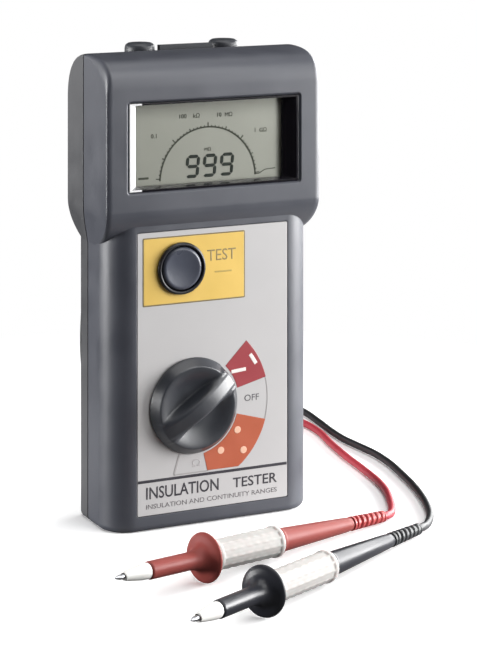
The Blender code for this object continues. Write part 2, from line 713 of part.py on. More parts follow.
# ---- terminals -------------------------------------------------------------
SOCKET_BASE = 158.6
terminals = block("terminal_block", (-30.6, 5.2, 168.0), (30.6, 19.9, POCKET_FLOOR), BLACK)
join(
    terminals,
    block("terminal_wall", (-30.5, 5.3, 170.0), (30.5, 13.0, 187.0)),
    block("terminal_strip", (-13.0, 7.3, 180.0), (12.0, 9.6, 196.9)),
)
for name, s in SIDES:
    at = (s * SOCKET_X, SOCKET_Y)
    join(terminals, rod_z(f"terminal_tower_{name}", *at, 157.0, 170.0, 5.2, segments=20))
cut(
    terminals,
    block("terminal_step", (-POCKET_X, 9.9, POCKET_FLOOR), (POCKET_X, CUT_REAR, CUT_TOP)),
    *plug_wells,
)
for name, s in SIDES:
    at = (s * SOCKET_X, SOCKET_Y)
    cut(terminals, rod_z(f"socket_seat_{name}", *at, SOCKET_BASE, 190.0, 3.5, segments=20))
for name, s in (("socket_negative", -1), ("socket_positive", 1)):
    turned(
        name, [(0, 1.2), (2.2, 1.2), (2.2, 18.6), (3.2, 18.6), (3.2, 0.4), (0, 0.4)],
        (s * SOCKET_X, SOCKET_Y, SOCKET_BASE), (0, 0, 1), BRASS, steps=20,
    )

# ---- test leads ------------------------------------------------------------
PLUG_TOP, PLUG_BASE = 197.8, POCKET_FLOOR + 0.4
ARM_Z, ARM_END = 187.0, 36.0
CABLE_HOLE_R = CABLE_R + 0.3
# Stations along a probe; the steel tip ends at GUARD_AT - NOSE_LENGTH.
GUARD_R, GUARD_AT = 9.5, 40.4
NOSE_LENGTH = 46.0  # probe tip to finger guard
PROBE_END = 153.5
FLOOR_GAP = 0.2
ON_TABLE = CABLE_R + FLOOR_GAP


def blend(p, q, p_knot, q_knot, t):
    span = q_knot - p_knot
    return p * ((q_knot - t) / span) + q * ((t - p_knot) / span)


def smooth_path(points, steps):
    """A rounded line through the way points (centripetal spline)."""
    pts = [Vector(p) for p in points]
    pts = [2 * pts[0] - pts[1]] + pts + [2 * pts[-1] - pts[-2]]
    out = []
    for i in range(1, len(pts) - 2):
        p = pts[i - 1 : i + 3]
        knots = [0.0]
        for a, b in zip(p, p[1:]):
            knots.append(knots[-1] + math.sqrt((b - a).length))
        for k in range(steps):
            t = knots[1] + (knots[2] - knots[1]) * k / steps
            near, mid, far = [blend(p[j], p[j + 1], knots[j], knots[j + 1], t) for j in range(3)]
            early = blend(near, mid, knots[0], knots[2], t)
            late = blend(mid, far, knots[1], knots[3], t)
            out.append(blend(early, late, knots[1], knots[2], t))
    out.append(pts[-2])
    return out


def lead_plug(colour, x):
    """The plug with its arm to the rear, and its pin."""
    plug = turned(
        f"{colour}_plug",
        [
            (0, PLUG_TOP), (PLUG_R - 1.6, PLUG_TOP), (PLUG_R - 0.3, PLUG_TOP - 0.9),
            (PLUG_R, PLUG_TOP - 2.2), (PLUG_R, PLUG_BASE), (0, PLUG_BASE),
        ],
        (x, SOCKET_Y, 0), (0, 0, 1), BLACK,
    )
    name = f"{colour}_plug_"
    join(plug, rod_y(name + "arm", x, ARM_Z, SOCKET_Y, ARM_END, 5.0, end_radius=3.0, segments=20))
    cut(
        plug,
        rod_y(name + "cable_hole", x, ARM_Z, ARM_END - 5.0, ARM_END + 5, CABLE_HOLE_R, segments=12),
        rod_z(name + "pin_hole", x, SOCKET_Y, 170, POCKET_FLOOR + 3.4, 2.3, segments=16),
    )
    turned(
        name + "pin", [(0, 21.0), (1.9, 21.0), (1.9, 0.8), (1.2, 0), (0, 0)],
        (x, SOCKET_Y, 160.1), (0, 0, 1), STEEL, steps=16,
    )


def lead_probe(colour, tip, heading, stretch, skin):
    """A probe lying on the table, held up in front by its finger guard.

    Distances behind the guard are multiplied by `stretch`. Returns a function
    from a station to its point on the probe's axis."""
    yaw = math.radians(heading)
    guard_height = GUARD_R + FLOOR_GAP
    tail_height = CABLE_R + 1.4

    def along(station):
        scale = stretch if station > GUARD_AT else 1.0
        return NOSE_LENGTH + (station - GUARD_AT) * scale

    slope = (tail_height - guard_height) / (along(PROBE_END) - along(GUARD_AT))
    axis = Vector((math.cos(yaw), math.sin(yaw), slope)).normalized()
    start = Vector((tip[0], tip[1], guard_height - slope * along(GUARD_AT)))

    def piece(name, profile, mat, steps, closed=False):
        turned(
            f"{colour}_{name}", [(r, along(station)) for r, station in profile],
            start, axis, mat, steps=steps, closed=closed,
        )

    piece("tip", [(0, 39.0), (1.0, 39.0), (1.0, -3.3), (0.25, -5.6), (0, -5.6)], STEEL, 12)
    piece(
        "tip_sleeve",
        [(1.35, 11.0), (3.0, 11.0), (3.0, 8.6), (2.5, 4.6), (1.7, -1.2), (1.35, -1.2)],
        WHITE, 16, closed=True,
    )
    piece(
        "nose",
        [
            (0, 44.0), (5.0, 44.0), (5.0, 43.0), (GUARD_R - 0.9, 42.4), (GUARD_R, 41.6),
            (GUARD_R, 40.8), (GUARD_R - 0.9, 40.0), (5.6, 38.6), (4.1, 36.6), (3.5, 34.0),
            (3.4, 32.5), (3.4, 11.9), (3.1, 11.3), (1.35, 11.3), (1.35, 39.4), (0, 39.4),
        ],
        skin, 24,
    )
    piece(
        "collar", [(0, 83.7), (5.4, 83.7), (6.0, 83.0), (6.0, 45.0), (5.4, 44.3), (0, 44.3)],
        COLLAR, 20,
    )
    piece(
        "handle",
        [
            (0, 128.0), (CABLE_HOLE_R, 128.0), (CABLE_HOLE_R, 131.4), (2.6, 131.4), (3.0, 128.0),
            (3.6, 112.0), (4.4, 92.0), (4.6, 85.0), (4.2, 84.0), (0, 84.0),
        ],
        skin, 18,
    )
    piece(
        "strain_relief",
        [(CABLE_HOLE_R, PROBE_END), (2.2, PROBE_END), (2.7, 131.8), (CABLE_HOLE_R, 131.8)],
        skin, 14, closed=True,
    )
    return lambda station: start + axis * along(station)


def lead(colour, side, tip, heading, stretch, table_route, rise, skin, cable_skin):
    """One lead: plug and pin in its socket, a probe, and the cable between them."""
    x = side * SOCKET_X
    lead_plug(colour, x)
    on_axis = lead_probe(colour, tip, heading, stretch, skin)
    way = [on_axis(station) for station in (128.6, 142.0, 153.0, 155.5)]
    way += [(px, py, ON_TABLE) for px, py in table_route]
    way += rise
    way += [(x, ARM_END + y, ARM_Z) for y in (5.0, 1.0, -4.6)]
    wire(f"{colour}_cable", smooth_path(way, 3), CABLE_R, 2, cable_skin)


# Cable way points from the probe: (X, Y) on the table, then (X, Y, Z) up to the plug.
RED_TABLE = (
    (70.4, -44.0), (75.0, -36.6), (79.4, -27.4), (83.8, -17.0), (87.6, -4.0), (91.2, 17.0),
    (94.3, 39.0), (98.2, 60.0), (102.6, 80.0), (103.4, 98.0), (99.4, 116.0), (84.0, 128.0),
)
RED_RISE = ((58.0, 124.0, 4.0), (34.0, 98.0, 38.0), (23.0, 70.0, 110.0), (20.2, 54.0, 165.0))
BLACK_TABLE = (
    (76.2, -63.4), (83.0, -54.6), (88.4, -44.0), (93.6, -30.9), (98.6, -15.2), (103.2, 3.5),
    (106.8, 21.0), (108.3, 36.0), (107.8, 50.0), (107.2, 64.0), (108.6, 80.0), (111.0, 96.0),
    (113.2, 116.0), (110.6, 140.0), (90.0, 160.0), (52.0, 164.0),
)
BLACK_RISE = (
    (14.0, 138.0, 6.0), (-8.0, 104.0, 42.0), (-17.5, 72.0, 112.0), (-19.5, 54.0, 165.0),
)
lead(
    "red", side=1, tip=(-79.4, -100.2), heading=19.4, stretch=0.932,
    table_route=RED_TABLE, rise=RED_RISE, skin=RED, cable_skin=RED_CABLE,
)
lead(
    "black", side=-1, tip=(-72.3, -151.3), heading=29.95, stretch=1.024,
    table_route=BLACK_TABLE, rise=BLACK_RISE, skin=BLACK, cable_skin=BLACK_CABLE,
)

# ---- shading ---------------------------------------------------------------
for obj in PARTS.objects:
    if obj.type == "MESH":
        obj.data.shade_smooth()
        obj.data.set_sharp_from_angle(angle=math.radians(32))
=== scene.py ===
"""Looks of the insulation resistance tester and its two test leads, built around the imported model."""
import math

import bmesh
import bpy
from mathutils import Matrix, Quaternion, Vector


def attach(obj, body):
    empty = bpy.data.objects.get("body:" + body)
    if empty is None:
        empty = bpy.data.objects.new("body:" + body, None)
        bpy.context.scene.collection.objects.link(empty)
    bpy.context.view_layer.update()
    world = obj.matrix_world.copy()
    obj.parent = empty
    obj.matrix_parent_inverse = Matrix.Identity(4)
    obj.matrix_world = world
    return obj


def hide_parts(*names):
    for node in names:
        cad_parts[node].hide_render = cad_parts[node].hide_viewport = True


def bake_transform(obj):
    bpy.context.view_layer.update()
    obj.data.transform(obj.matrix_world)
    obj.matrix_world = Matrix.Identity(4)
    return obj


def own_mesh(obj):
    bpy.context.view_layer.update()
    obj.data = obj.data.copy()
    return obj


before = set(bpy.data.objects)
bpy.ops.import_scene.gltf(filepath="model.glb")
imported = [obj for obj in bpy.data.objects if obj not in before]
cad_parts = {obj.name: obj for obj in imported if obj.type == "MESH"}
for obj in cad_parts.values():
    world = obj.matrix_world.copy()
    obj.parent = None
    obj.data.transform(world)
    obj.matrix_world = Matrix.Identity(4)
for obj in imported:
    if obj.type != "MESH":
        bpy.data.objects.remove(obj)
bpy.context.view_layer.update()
MM = 0.001
ROOT = "instrument"


# ============================ materials ============================
def nodes_of(name):
    m = bpy.data.materials.new(name)
    m.use_nodes = True
    nt = m.node_tree
    return m, nt, nt.nodes, nt.links, nt.nodes["Principled BSDF"]


def surface(
    name, colour, rough, metal=0.0, grain=0.35, grain_mm=0.35, tint=0.06, tint_mm=14.0,
    edge=0.25, edge_mm=0.35, coat=0.0, sheen=0.0, subsurface=0.0, rough_var=0.06, alpha=1.0,
    specular=0.5, translucent=0.0,
):
    """A moulded or finished surface: fine grain in the bump, slow drift in colour and
    roughness, and edges that catch a little light where handling has polished them."""
    m, nt, nd, ln, bsdf = nodes_of(name)
    co = nd.new("ShaderNodeTexCoord")
    slow = nd.new("ShaderNodeTexNoise")
    slow.inputs["Scale"].default_value = 1000.0 / tint_mm
    slow.inputs["Detail"].default_value = 4.0
    ln.new(co.outputs["Object"], slow.inputs["Vector"])
    fine = nd.new("ShaderNodeTexNoise")
    fine.inputs["Scale"].default_value = 1000.0 / grain_mm
    fine.inputs["Detail"].default_value = 2.0
    ln.new(co.outputs["Object"], fine.inputs["Vector"])

    ramp = nd.new("ShaderNodeMapRange")
    ramp.inputs["From Min"].default_value = 0.3
    ramp.inputs["From Max"].default_value = 0.7
    ramp.inputs["To Min"].default_value = 1.0 - tint
    ramp.inputs["To Max"].default_value = 1.0 + tint
    ln.new(slow.outputs["Fac"], ramp.inputs["Value"])
    tinted = nd.new("ShaderNodeVectorMath")
    tinted.operation = "SCALE"
    tinted.inputs[0].default_value = colour
    ln.new(ramp.outputs["Result"], tinted.inputs["Scale"])
    out_colour = tinted.outputs["Vector"]

    bev = nd.new("ShaderNodeBevel")
    bev.samples = 4
    bev.inputs["Radius"].default_value = edge_mm * MM
    if edge > 0:
        geo = nd.new("ShaderNodeNewGeometry")
        dot = nd.new("ShaderNodeVectorMath")
        dot.operation = "DOT_PRODUCT"
        ln.new(bev.outputs["Normal"], dot.inputs[0])
        ln.new(geo.outputs["Normal"], dot.inputs[1])
        worn = nd.new("ShaderNodeMapRange")
        worn.inputs["From Min"].default_value = 0.985
        worn.inputs["From Max"].default_value = 0.80
        worn.inputs["To Min"].default_value = 0.0
        worn.inputs["To Max"].default_value = edge
        ln.new(dot.outputs["Value"], worn.inputs["Value"])
        mix = nd.new("ShaderNodeMix")
        mix.data_type = "RGBA"
        light = tuple(min(1.0, c * 1.9 + 0.02) for c in colour)
        mix.inputs["B"].default_value = (*light, 1.0)
        ln.new(worn.outputs["Result"], mix.inputs["Factor"])
        ln.new(out_colour, mix.inputs["A"])
        out_colour = mix.outputs["Result"]
    ln.new(out_colour, bsdf.inputs["Base Color"])

    rr = nd.new("ShaderNodeMapRange")
    rr.inputs["From Min"].default_value = 0.3
    rr.inputs["From Max"].default_value = 0.7
    rr.inputs["To Min"].default_value = max(0.02, rough - rough_var)
    rr.inputs["To Max"].default_value = min(1.0, rough + rough_var)
    ln.new(slow.outputs["Fac"], rr.inputs["Value"])
    ln.new(rr.outputs["Result"], bsdf.inputs["Roughness"])

    bump = nd.new("ShaderNodeBump")
    bump.inputs["Strength"].default_value = grain
    bump.inputs["Distance"].default_value = 0.04 * MM
    ln.new(fine.outputs["Fac"], bump.inputs["Height"])
    ln.new(bev.outputs["Normal"], bump.inputs["Normal"])
    ln.new(bump.outputs["Normal"], bsdf.inputs["Normal"])
    bsdf.inputs["Metallic"].default_value = metal
    bsdf.inputs["Coat Weight"].default_value = coat
    bsdf.inputs["Coat Roughness"].default_value = 0.1
    bsdf.inputs["Sheen Weight"].default_value = sheen
    bsdf.inputs["Specular IOR Level"].default_value = specular
    if subsurface:
        bsdf.inputs["Subsurface Weight"].default_value = subsurface
        bsdf.inputs["Subsurface Radius"].default_value = (0.004, 0.003, 0.003)
        bsdf.inputs["Subsurface Scale"].default_value = 0.6
    if alpha < 1.0:
        bsdf.inputs["Alpha"].default_value = alpha
    return m


def clear_pane(name, tint=(1, 1, 1), gloss=0.05):
    """A clear pane: what is behind shows through, and the front mirrors the room at a glance."""
    m, nt, nd, ln, bsdf = nodes_of(name)
    nd.remove(bsdf)
    out = nd["Material Output"]
    clear = nd.new("ShaderNodeBsdfTransparent")
    clear.inputs["Color"].default_value = (*tint, 1.0)
    shine = nd.new("ShaderNodeBsdfGlossy")
    co = nd.new("ShaderNodeTexCoord")
    noise = nd.new("ShaderNodeTexNoise")
    noise.inputs["Scale"].default_value = 60.0
    ln.new(co.outputs["Object"], noise.inputs["Vector"])
    rr = nd.new("ShaderNodeMapRange")
    rr.inputs["To Min"].default_value = 0.02
    rr.inputs["To Max"].default_value = 0.10
    ln.new(noise.outputs["Fac"], rr.inputs["Value"])
    ln.new(rr.outputs["Result"], shine.inputs["Roughness"])
    fres = nd.new("ShaderNodeFresnel")
    fres.inputs["IOR"].default_value = 1.18
    mix = nd.new("ShaderNodeMixShader")
    ln.new(fres.outputs["Fac"], mix.inputs["Fac"])
    ln.new(clear.outputs["BSDF"], mix.inputs[1])
    ln.new(shine.outputs["BSDF"], mix.inputs[2])
    ln.new(mix.outputs["Shader"], out.inputs["Surface"])
    return m


CASE = surface("case_textured", (0.056, 0.060, 0.076), 0.42, specular=0.8, grain=0.55, grain_mm=0.42, tint=0.05, edge=0.30, edge_mm=0.5)
CASE_REAR = surface("case_rear_textured", (0.060, 0.061, 0.066), 0.42, specular=0.8, grain=0.55, grain_mm=0.42, tint=0.05, edge=0.30, edge_mm=0.5)
SEAL = surface("seal_rubber", (0.012, 0.012, 0.014), 0.8, grain=0.3, edge=0.0)
GLOSS = surface("bezel_gloss", (0.010, 0.009, 0.012), 0.10, grain=0.02, tint=0.02, edge=0.0, rough_var=0.03, coat=0.6)


def paint_highlight_on_left_slope(mat):
    """Painted highlight: the frame's left slope and rim are painted a pale satin strip that stands in for the glint of
    the light from the right; the rest stays gloss black.
    """
    nt = mat.node_tree
    nd, ln = nt.nodes, nt.links
    bsdf = next(n for n in nd if n.bl_idname == "ShaderNodeBsdfPrincipled")
    co = nd.new("ShaderNodeTexCoord")
    split = nd.new("ShaderNodeSeparateXYZ")
    ln.new(co.outputs["Normal"], split.inputs[0])
    edge = (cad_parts["display_bezel"].matrix_world.inverted() @ Vector((-33.4 * MM, 0, 0))).x
    along_x = nd.new("ShaderNodeSeparateXYZ")
    ln.new(co.outputs["Object"], along_x.inputs[0])
    across = nd.new("ShaderNodeMapRange")
    across.inputs["From Min"].default_value = edge + 0.0002
    across.inputs["From Max"].default_value = edge - 0.0002
    ln.new(along_x.outputs["X"], across.inputs["Value"])
    facing = nd.new("ShaderNodeMapRange")
    facing.inputs["From Min"].default_value = -0.15
    facing.inputs["From Max"].default_value = -0.35
    ln.new(split.outputs["Y"], facing.inputs["Value"])
    both = nd.new("ShaderNodeMath")
    both.operation = "MULTIPLY"
    ln.new(across.outputs["Result"], both.inputs[0])
    ln.new(facing.outputs["Result"], both.inputs[1])
    # painted highlight: the masked left slope gets a pale colour, satin roughness and no coat
    for socket, pale in (("Base Color", (0.84, 0.84, 0.85, 1.0)), ("Roughness", 0.4), ("Coat Weight", 0.0)):
        into = bsdf.inputs[socket]
        mix = nd.new("ShaderNodeMix")
        mix.data_type = "RGBA" if socket == "Base Color" else "FLOAT"
        a, b = [s for s in mix.inputs if s.type == ("RGBA" if socket == "Base Color" else "VALUE") and s.name in ("A", "B")]
        if into.links:
            ln.new(into.links[0].from_socket, a)
        else:
            a.default_value = into.default_value
        b.default_value = pale
        ln.new(both.outputs[0], mix.inputs[0])
        out = next(s for s in mix.outputs if s.type == ("RGBA" if socket == "Base Color" else "VALUE"))
        ln.new(out, into)
    return mat


# the bezel's left slope gets a painted highlight, a pale strip in its colour
GLOSS = paint_highlight_on_left_slope(GLOSS)
WINDOW = clear_pane("window_clear")
LCD = surface("lcd_glass", (0.48, 0.49, 0.425), 0.35, grain=0.05, grain_mm=0.25, tint=0.03, tint_mm=30, edge=0.0)
INK = surface("lcd_segment", (0.055, 0.065, 0.056), 0.5, grain=0.02, edge=0.0, specular=0.1)
FAINT = surface("lcd_faint_segment", (0.15, 0.16, 0.13), 0.5, grain=0.02, edge=0.0, alpha=0.85, specular=0.1)
WHITE = surface("white_plastic", (0.80, 0.79, 0.76), 0.42, grain=0.2, tint=0.02, edge=0.0, subsurface=0.05)
LABEL = surface("label_film", (0.515, 0.505, 0.505), 0.45, specular=0.3, grain=0.12, grain_mm=0.22, tint=0.015, tint_mm=22, edge=0.0)
YELLOW = surface("print_yellow", (0.74, 0.50, 0.12), 0.42, grain=0.12, grain_mm=0.22, tint=0.04, edge=0.0)
PRINT_RED = surface("print_red", (0.32, 0.043, 0.052), 0.40, grain=0.12, grain_mm=0.22, tint=0.05, edge=0.0)
PRINT_ORANGE = surface("print_orange", (0.45, 0.105, 0.050), 0.40, grain=0.12, grain_mm=0.22, tint=0.06, edge=0.0)
PRINT_DARK = surface("print_dark", (0.035, 0.033, 0.042), 0.42, grain=0.1, edge=0.0)
PRINT_GREY = surface("print_grey", (0.40, 0.385, 0.385), 0.42, grain=0.1, edge=0.0)
PRINT_WHITE = surface("print_white", (0.85, 0.80, 0.76), 0.42, grain=0.1, edge=0.0)
BUTTON = surface("button_grey", (0.060, 0.066, 0.088), 0.30, grain=0.25, grain_mm=0.5, tint=0.08, edge=0.3)
RING = surface("ring_black", (0.008, 0.008, 0.011), 0.35, grain=0.15, edge=0.15)
KNOB = surface("knob_black", (0.024, 0.027, 0.035), 0.36, specular=0.95, grain=0.35, grain_mm=0.35, tint=0.10, edge=0.4)
BLACK = surface("black_plastic", (0.020, 0.021, 0.027), 0.34, specular=0.4, grain=0.25, tint=0.1, edge=0.25)
DARK = surface("dark_plastic", (0.035, 0.038, 0.045), 0.45, grain=0.35, tint=0.08, edge=0.3)
RED = surface("red_plastic", (0.27, 0.058, 0.050), 0.46, specular=0.22, grain=0.22, tint=0.07, edge=0.25, subsurface=0.04)
SLEEVE = surface("sleeve_white", (0.82, 0.81, 0.78), 0.38, grain=0.15, tint=0.02, edge=0.0, subsurface=0.08)
STEEL = surface("steel", (0.52, 0.53, 0.55), 0.30, metal=1.0, grain=0.15, grain_mm=0.2, tint=0.08, edge=0.2)
BRASS = surface("brass", (0.62, 0.43, 0.17), 0.30, metal=1.0, grain=0.12, tint=0.08, edge=0.2)
RED_SKIN = surface("cable_red", (0.36, 0.030, 0.045), 0.45, grain=0.25, grain_mm=0.5, tint=0.06, edge=0.0)
BLACK_SKIN = surface("cable_black", (0.012, 0.013, 0.015), 0.42, grain=0.25, grain_mm=0.5, tint=0.1, edge=0.0)
BOARD = surface("board_green", (0.03, 0.18, 0.08), 0.4, grain=0.2, tint=0.12, tint_mm=5, edge=0.2)
CELL = surface("cell_jacket", (0.10, 0.10, 0.12), 0.35, metal=0.4, grain=0.1, edge=0.2)
COPPER = surface("core_steel", (0.35, 0.34, 0.33), 0.4, metal=0.8, grain=0.4, edge=0.2)


def collar_material():
    """Milky translucent plastic: light passes in, and moulded ribs show through faintly."""
    m = surface("collar_milky", (0.44, 0.425, 0.41), 0.55, specular=0.15, grain=0.25, grain_mm=1.2, tint=0.05, tint_mm=3.0, edge=0.10, subsurface=0.9, coat=0.0)
    return m


COLLAR = collar_material()
GLASS = clear_pane("fuse_glass", (0.85, 0.9, 0.9))


# ============================ mesh helpers ============================
def new_object(name, mesh, mat):
    obj = bpy.data.objects.new(name, mesh)
    bpy.context.scene.collection.objects.link(obj)
    if mat is not None:
        obj.data.materials.clear()
        obj.data.materials.append(mat)
    return obj


def finish_shading(obj, angle=32.0):
    obj.data.shade_smooth()
    obj.data.set_sharp_from_angle(angle=math.radians(angle))
    return obj


def bake(obj):
    """Applies the modifiers by replacing the mesh with what they make."""
    bpy.context.view_layer.update()
    graph = bpy.context.evaluated_depsgraph_get()
    mesh = bpy.data.meshes.new_from_object(obj.evaluated_get(graph))
    obj.modifiers.clear()
    obj.data = mesh
    return obj


def boolean(obj, other, how):
    m = obj.modifiers.new(how, "BOOLEAN")
    m.operation = how
    m.object = other
    m.solver = "EXACT"


def carve(obj, cutters=(), adds=(), cleanup=True):
    for a in adds:
        boolean(obj, a, "UNION")
    for c in cutters:
        boolean(obj, c, "DIFFERENCE")
    bake(obj)
    for o in list(cutters) + list(adds):
        bpy.data.objects.remove(o, do_unlink=True)
    bm = bmesh.new()
    bm.from_mesh(obj.data)
    bmesh.ops.remove_doubles(bm, verts=bm.verts, dist=0.000004)
    bmesh.ops.dissolve_degenerate(bm, edges=bm.edges, dist=0.000002)
    bm.to_mesh(obj.data)
    bm.free()
    return obj


def copy_of(obj, name):
    o = bpy.data.objects.new(name, obj.data.copy())
    bpy.context.scene.collection.objects.link(o)
    return o


def from_bm(name, bm, mat=None):
    bmesh.ops.recalc_face_normals(bm, faces=bm.faces)
    mesh = bpy.data.meshes.new(name)
    bm.to_mesh(mesh)
    bm.free()
    return new_object(name, mesh, mat)


def block(name, lo, hi, mat=None, round_by=0.0, segments=3):
    bm = bmesh.new()
    bmesh.ops.create_cube(bm, size=1.0)
    bmesh.ops.scale(bm, vec=[(h - l) * MM for l, h in zip(lo, hi)], verts=bm.verts)
    bmesh.ops.translate(bm, vec=[(h + l) / 2 * MM for l, h in zip(lo, hi)], verts=bm.verts)
    if round_by:
        bmesh.ops.bevel(bm, geom=bm.edges[:], offset=round_by * MM, segments=segments, profile=0.5, affect="EDGES")
    return from_bm(name, bm, mat)


def rod(name, start, end, r, mat=None, r2=None, segments=64):
    a, b = Vector(start) * MM, Vector(end) * MM
    bm = bmesh.new()
    bmesh.ops.create_cone(bm, cap_ends=True, segments=segments, radius1=r * MM, radius2=(r if r2 is None else r2) * MM, depth=(b - a).length)
    turn = (b - a).to_track_quat("Z", "Y").to_matrix().to_4x4()
    bmesh.ops.transform(bm, matrix=Matrix.Translation((a + b) / 2) @ turn, verts=bm.verts)
    return from_bm(name, bm, mat)


def fillet(profile, radii, count=4):
    """The profile with its inner corners rounded by the radii given (0 keeps a corner)."""
    out = []
    n = len(profile)
    for i, p in enumerate(profile):
        r = radii[i] if isinstance(radii, (list, tuple)) else radii
        if i in (0, n - 1) or r <= 0:
            out.append(tuple(p))
            continue
        a, b, c = Vector(profile[i - 1]), Vector(p), Vector(profile[i + 1])
        d1, d2 = (a - b), (c - b)
        l1, l2 = d1.length, d2.length
        if l1 < 1e-6 or l2 < 1e-6:
            out.append(tuple(p))
            continue
        k = min(r, l1 * 0.48, l2 * 0.48)
        s, e = b + d1 / l1 * k, b + d2 / l2 * k
        for j in range(count + 1):
            t = j / count
            q = s * (1 - t) ** 2 + b * (2 * t * (1 - t)) + e * t * t
            out.append((q.x, q.y))
    return out


def turned(name, profile, at, axis, mat, steps=96, closed=False, wobble=None):
    """A profile of (radius, height), millimetres, spun about the axis."""
    bm = bmesh.new()
    q = Vector(axis).to_track_quat("Z", "Y").to_matrix()
    origin = Vector(at) * MM
    rings = []
    for r, h in profile:
        if r < 1e-6:
            rings.append([bm.verts.new(origin + q @ Vector((0, 0, h * MM)))])
        else:
            ring = []
            for i in range(steps):
                t = 2 * math.pi * i / steps
                rr = r if wobble is None else wobble(r, h, t)
                ring.append(bm.verts.new(origin + q @ Vector((rr * math.cos(t) * MM, rr * math.sin(t) * MM, h * MM))))
            rings.append(ring)
    pairs = list(zip(rings, rings[1:]))
    if closed:
        pairs.append((rings[-1], rings[0]))
    for a, b in pairs:
        if len(a) == 1 and len(b) == 1:
            continue
        for i in range(steps):
            j = (i + 1) % steps
            if len(a) == 1:
                bm.faces.new((a[0], b[i], b[j]))
            elif len(b) == 1:
                bm.faces.new((a[i], b[0], a[j]))
            else:
                bm.faces.new((a[i], b[i], b[j], a[j]))
    return from_bm(name, bm, mat)


def flat(name, outlines, y0, y1, mat=None):
    """Flat outlines in (X, Z), the first outer and the rest holes, between two Y planes."""
    curve = bpy.data.curves.new(name, "CURVE")
    curve.dimensions = "2D"
    curve.fill_mode = "BOTH"
    curve.extrude = (y1 - y0) / 2 * MM
    for outline in outlines:
        spline = curve.splines.new("POLY")
        spline.points.add(len(outline) - 1)
        for point, (u, v) in zip(spline.points, outline):
            point.co = (u * MM, v * MM, 0.0, 1.0)
        spline.use_cyclic_u = True
    guide = bpy.data.objects.new(name + "_guide", curve)
    bpy.context.scene.collection.objects.link(guide)
    bpy.context.view_layer.update()
    graph = bpy.context.evaluated_depsgraph_get()
    mesh = bpy.data.meshes.new_from_object(guide.evaluated_get(graph))
    bpy.data.objects.remove(guide, do_unlink=True)
    mid = (y0 + y1) / 2 * MM
    mesh.transform(Matrix(((1, 0, 0, 0), (0, 0, -1, mid), (0, 1, 0, 0), (0, 0, 0, 1))))
    bm = bmesh.new()
    bm.from_mesh(mesh)
    bmesh.ops.remove_doubles(bm, verts=bm.verts, dist=0.000001)
    bmesh.ops.recalc_face_normals(bm, faces=bm.faces)
    bm.to_mesh(mesh)
    bm.free()
    mesh.name = name
    return new_object(name, mesh, mat)


def merge(name, objs, mat):
    """Several loose shapes of one print or segment set, kept as one piece."""
    bm = bmesh.new()
    for o in objs:
        bm.from_mesh(o.data)
    mesh = bpy.data.meshes.new(name)
    bm.to_mesh(mesh)
    bm.free()
    for o in objs:
        bpy.data.objects.remove(o, do_unlink=True)
    return new_object(name, mesh, mat)


def arc(cx, cy, r, start, end, count):
    return [
        (cx + r * math.cos(math.radians(start + (end - start) * i / count)), cy + r * math.sin(math.radians(start + (end - start) * i / count)))
        for i in range(count + 1)
    ]


def rounded(x0, x1, y0, y1, r, count=8):
    a, b, c, d = r if isinstance(r, tuple) else (r, r, r, r)
    return (
        arc(x0 + a, y0 + a, a, 180, 270, count) + arc(x1 - b, y0 + b, b, 270, 360, count)
        + arc(x1 - c, y1 - c, c, 0, 90, count) + arc(x0 + d, y1 - d, d, 90, 180, count)
    )


def sweep(p, a, b, q, count):
    out = []
    for i in range(count):
        t = i / count
        k = ((1 - t) ** 3, 3 * t * (1 - t) ** 2, 3 * t * t * (1 - t), t**3)
        out.append(tuple(sum(w * v[j] for w, v in zip(k, (p, a, b, q))) for j in (0, 1)))
    return out


def inset(outline, by):
    n = len(outline)
    out = []
    for i, (x, y) in enumerate(outline):
        (ax, ay), (bx, by_) = outline[i - 1], outline[(i + 1) % n]
        e1, e2 = Vector((x - ax, y - ay)).normalized(), Vector((bx - x, by_ - y)).normalized()
        n1, n2 = Vector((-e1.y, e1.x)), Vector((-e2.y, e2.x))
        m = (n1 + n2).normalized()
        k = by / max(m.dot(n1), 0.5)
        out.append((x + m.x * k, y + m.y * k))
    return out


# ============================ case ============================
BODY_HALF, BODY_FRONT, BODY_REAR = 47.0, -18.6, 17.0
HEAD_HALF, HEAD_FRONT, HEAD_REAR, HEAD_TOP = 49.0, -21.0, 22.9, 195.2
END_ROUND, CAP_INSET = 2.5, 1.0
SEAM_Y, SEAM_GAP = 4.5, 0.4
KNOB_X, KNOB_Z, KNOB_R = -9.3, 49.8, 19.9
KNOB_REST = 34.0
BUTTON_X, BUTTON_Z = -14.9, 107.1
SOCKET_X, SOCKET_Y, POCKET_FLOOR = 19.7, 12.9, 178.0
PLUG_R, PLUG_TOP, ARM_Z, ARM_END = 6.5, 197.8, 187.0, 36.0
BAY_X, BAY_Z0, BAY_Z1 = 17.6, 6.6, 111.4
LABEL_X, LABEL_Z0, LABEL_Z1 = 34.5, 6.6, 122.7


def head_side(cap=False, count=26):
    if cap:
        crown, fore, brow, brow_end = (5.0, 195.0), (-9.0, 193.6), (-20.6, 187.6), (HEAD_FRONT, 179.0)
    else:
        crown, fore, brow, brow_end = (2.0, HEAD_TOP), (-14.0, HEAD_TOP), (HEAD_FRONT, 193.0), (HEAD_FRONT, 182.0)
    low = (4.5, 114.0)
    return (
        sweep(low, (12.0, 116.0), (HEAD_REAR, 122.0), (HEAD_REAR, 133.0), count)
        + [(HEAD_REAR, 133.0)]
        + sweep((HEAD_REAR, 176.0), (22.5, 190.5), (12.0, crown[1]), crown, count)
        + sweep(crown, fore, brow, brow_end, count)
        + [brow_end]
        + sweep((HEAD_FRONT, 133.0), (-21.0, 123.5), (-10.0, 115.5), low, count)
    )


SHOULDER = sweep((49.0, 132.0), (49.0, 126.0), (47.6, 121.0), (46.4, 112.0), 40) + [(46.4, 112.0)]


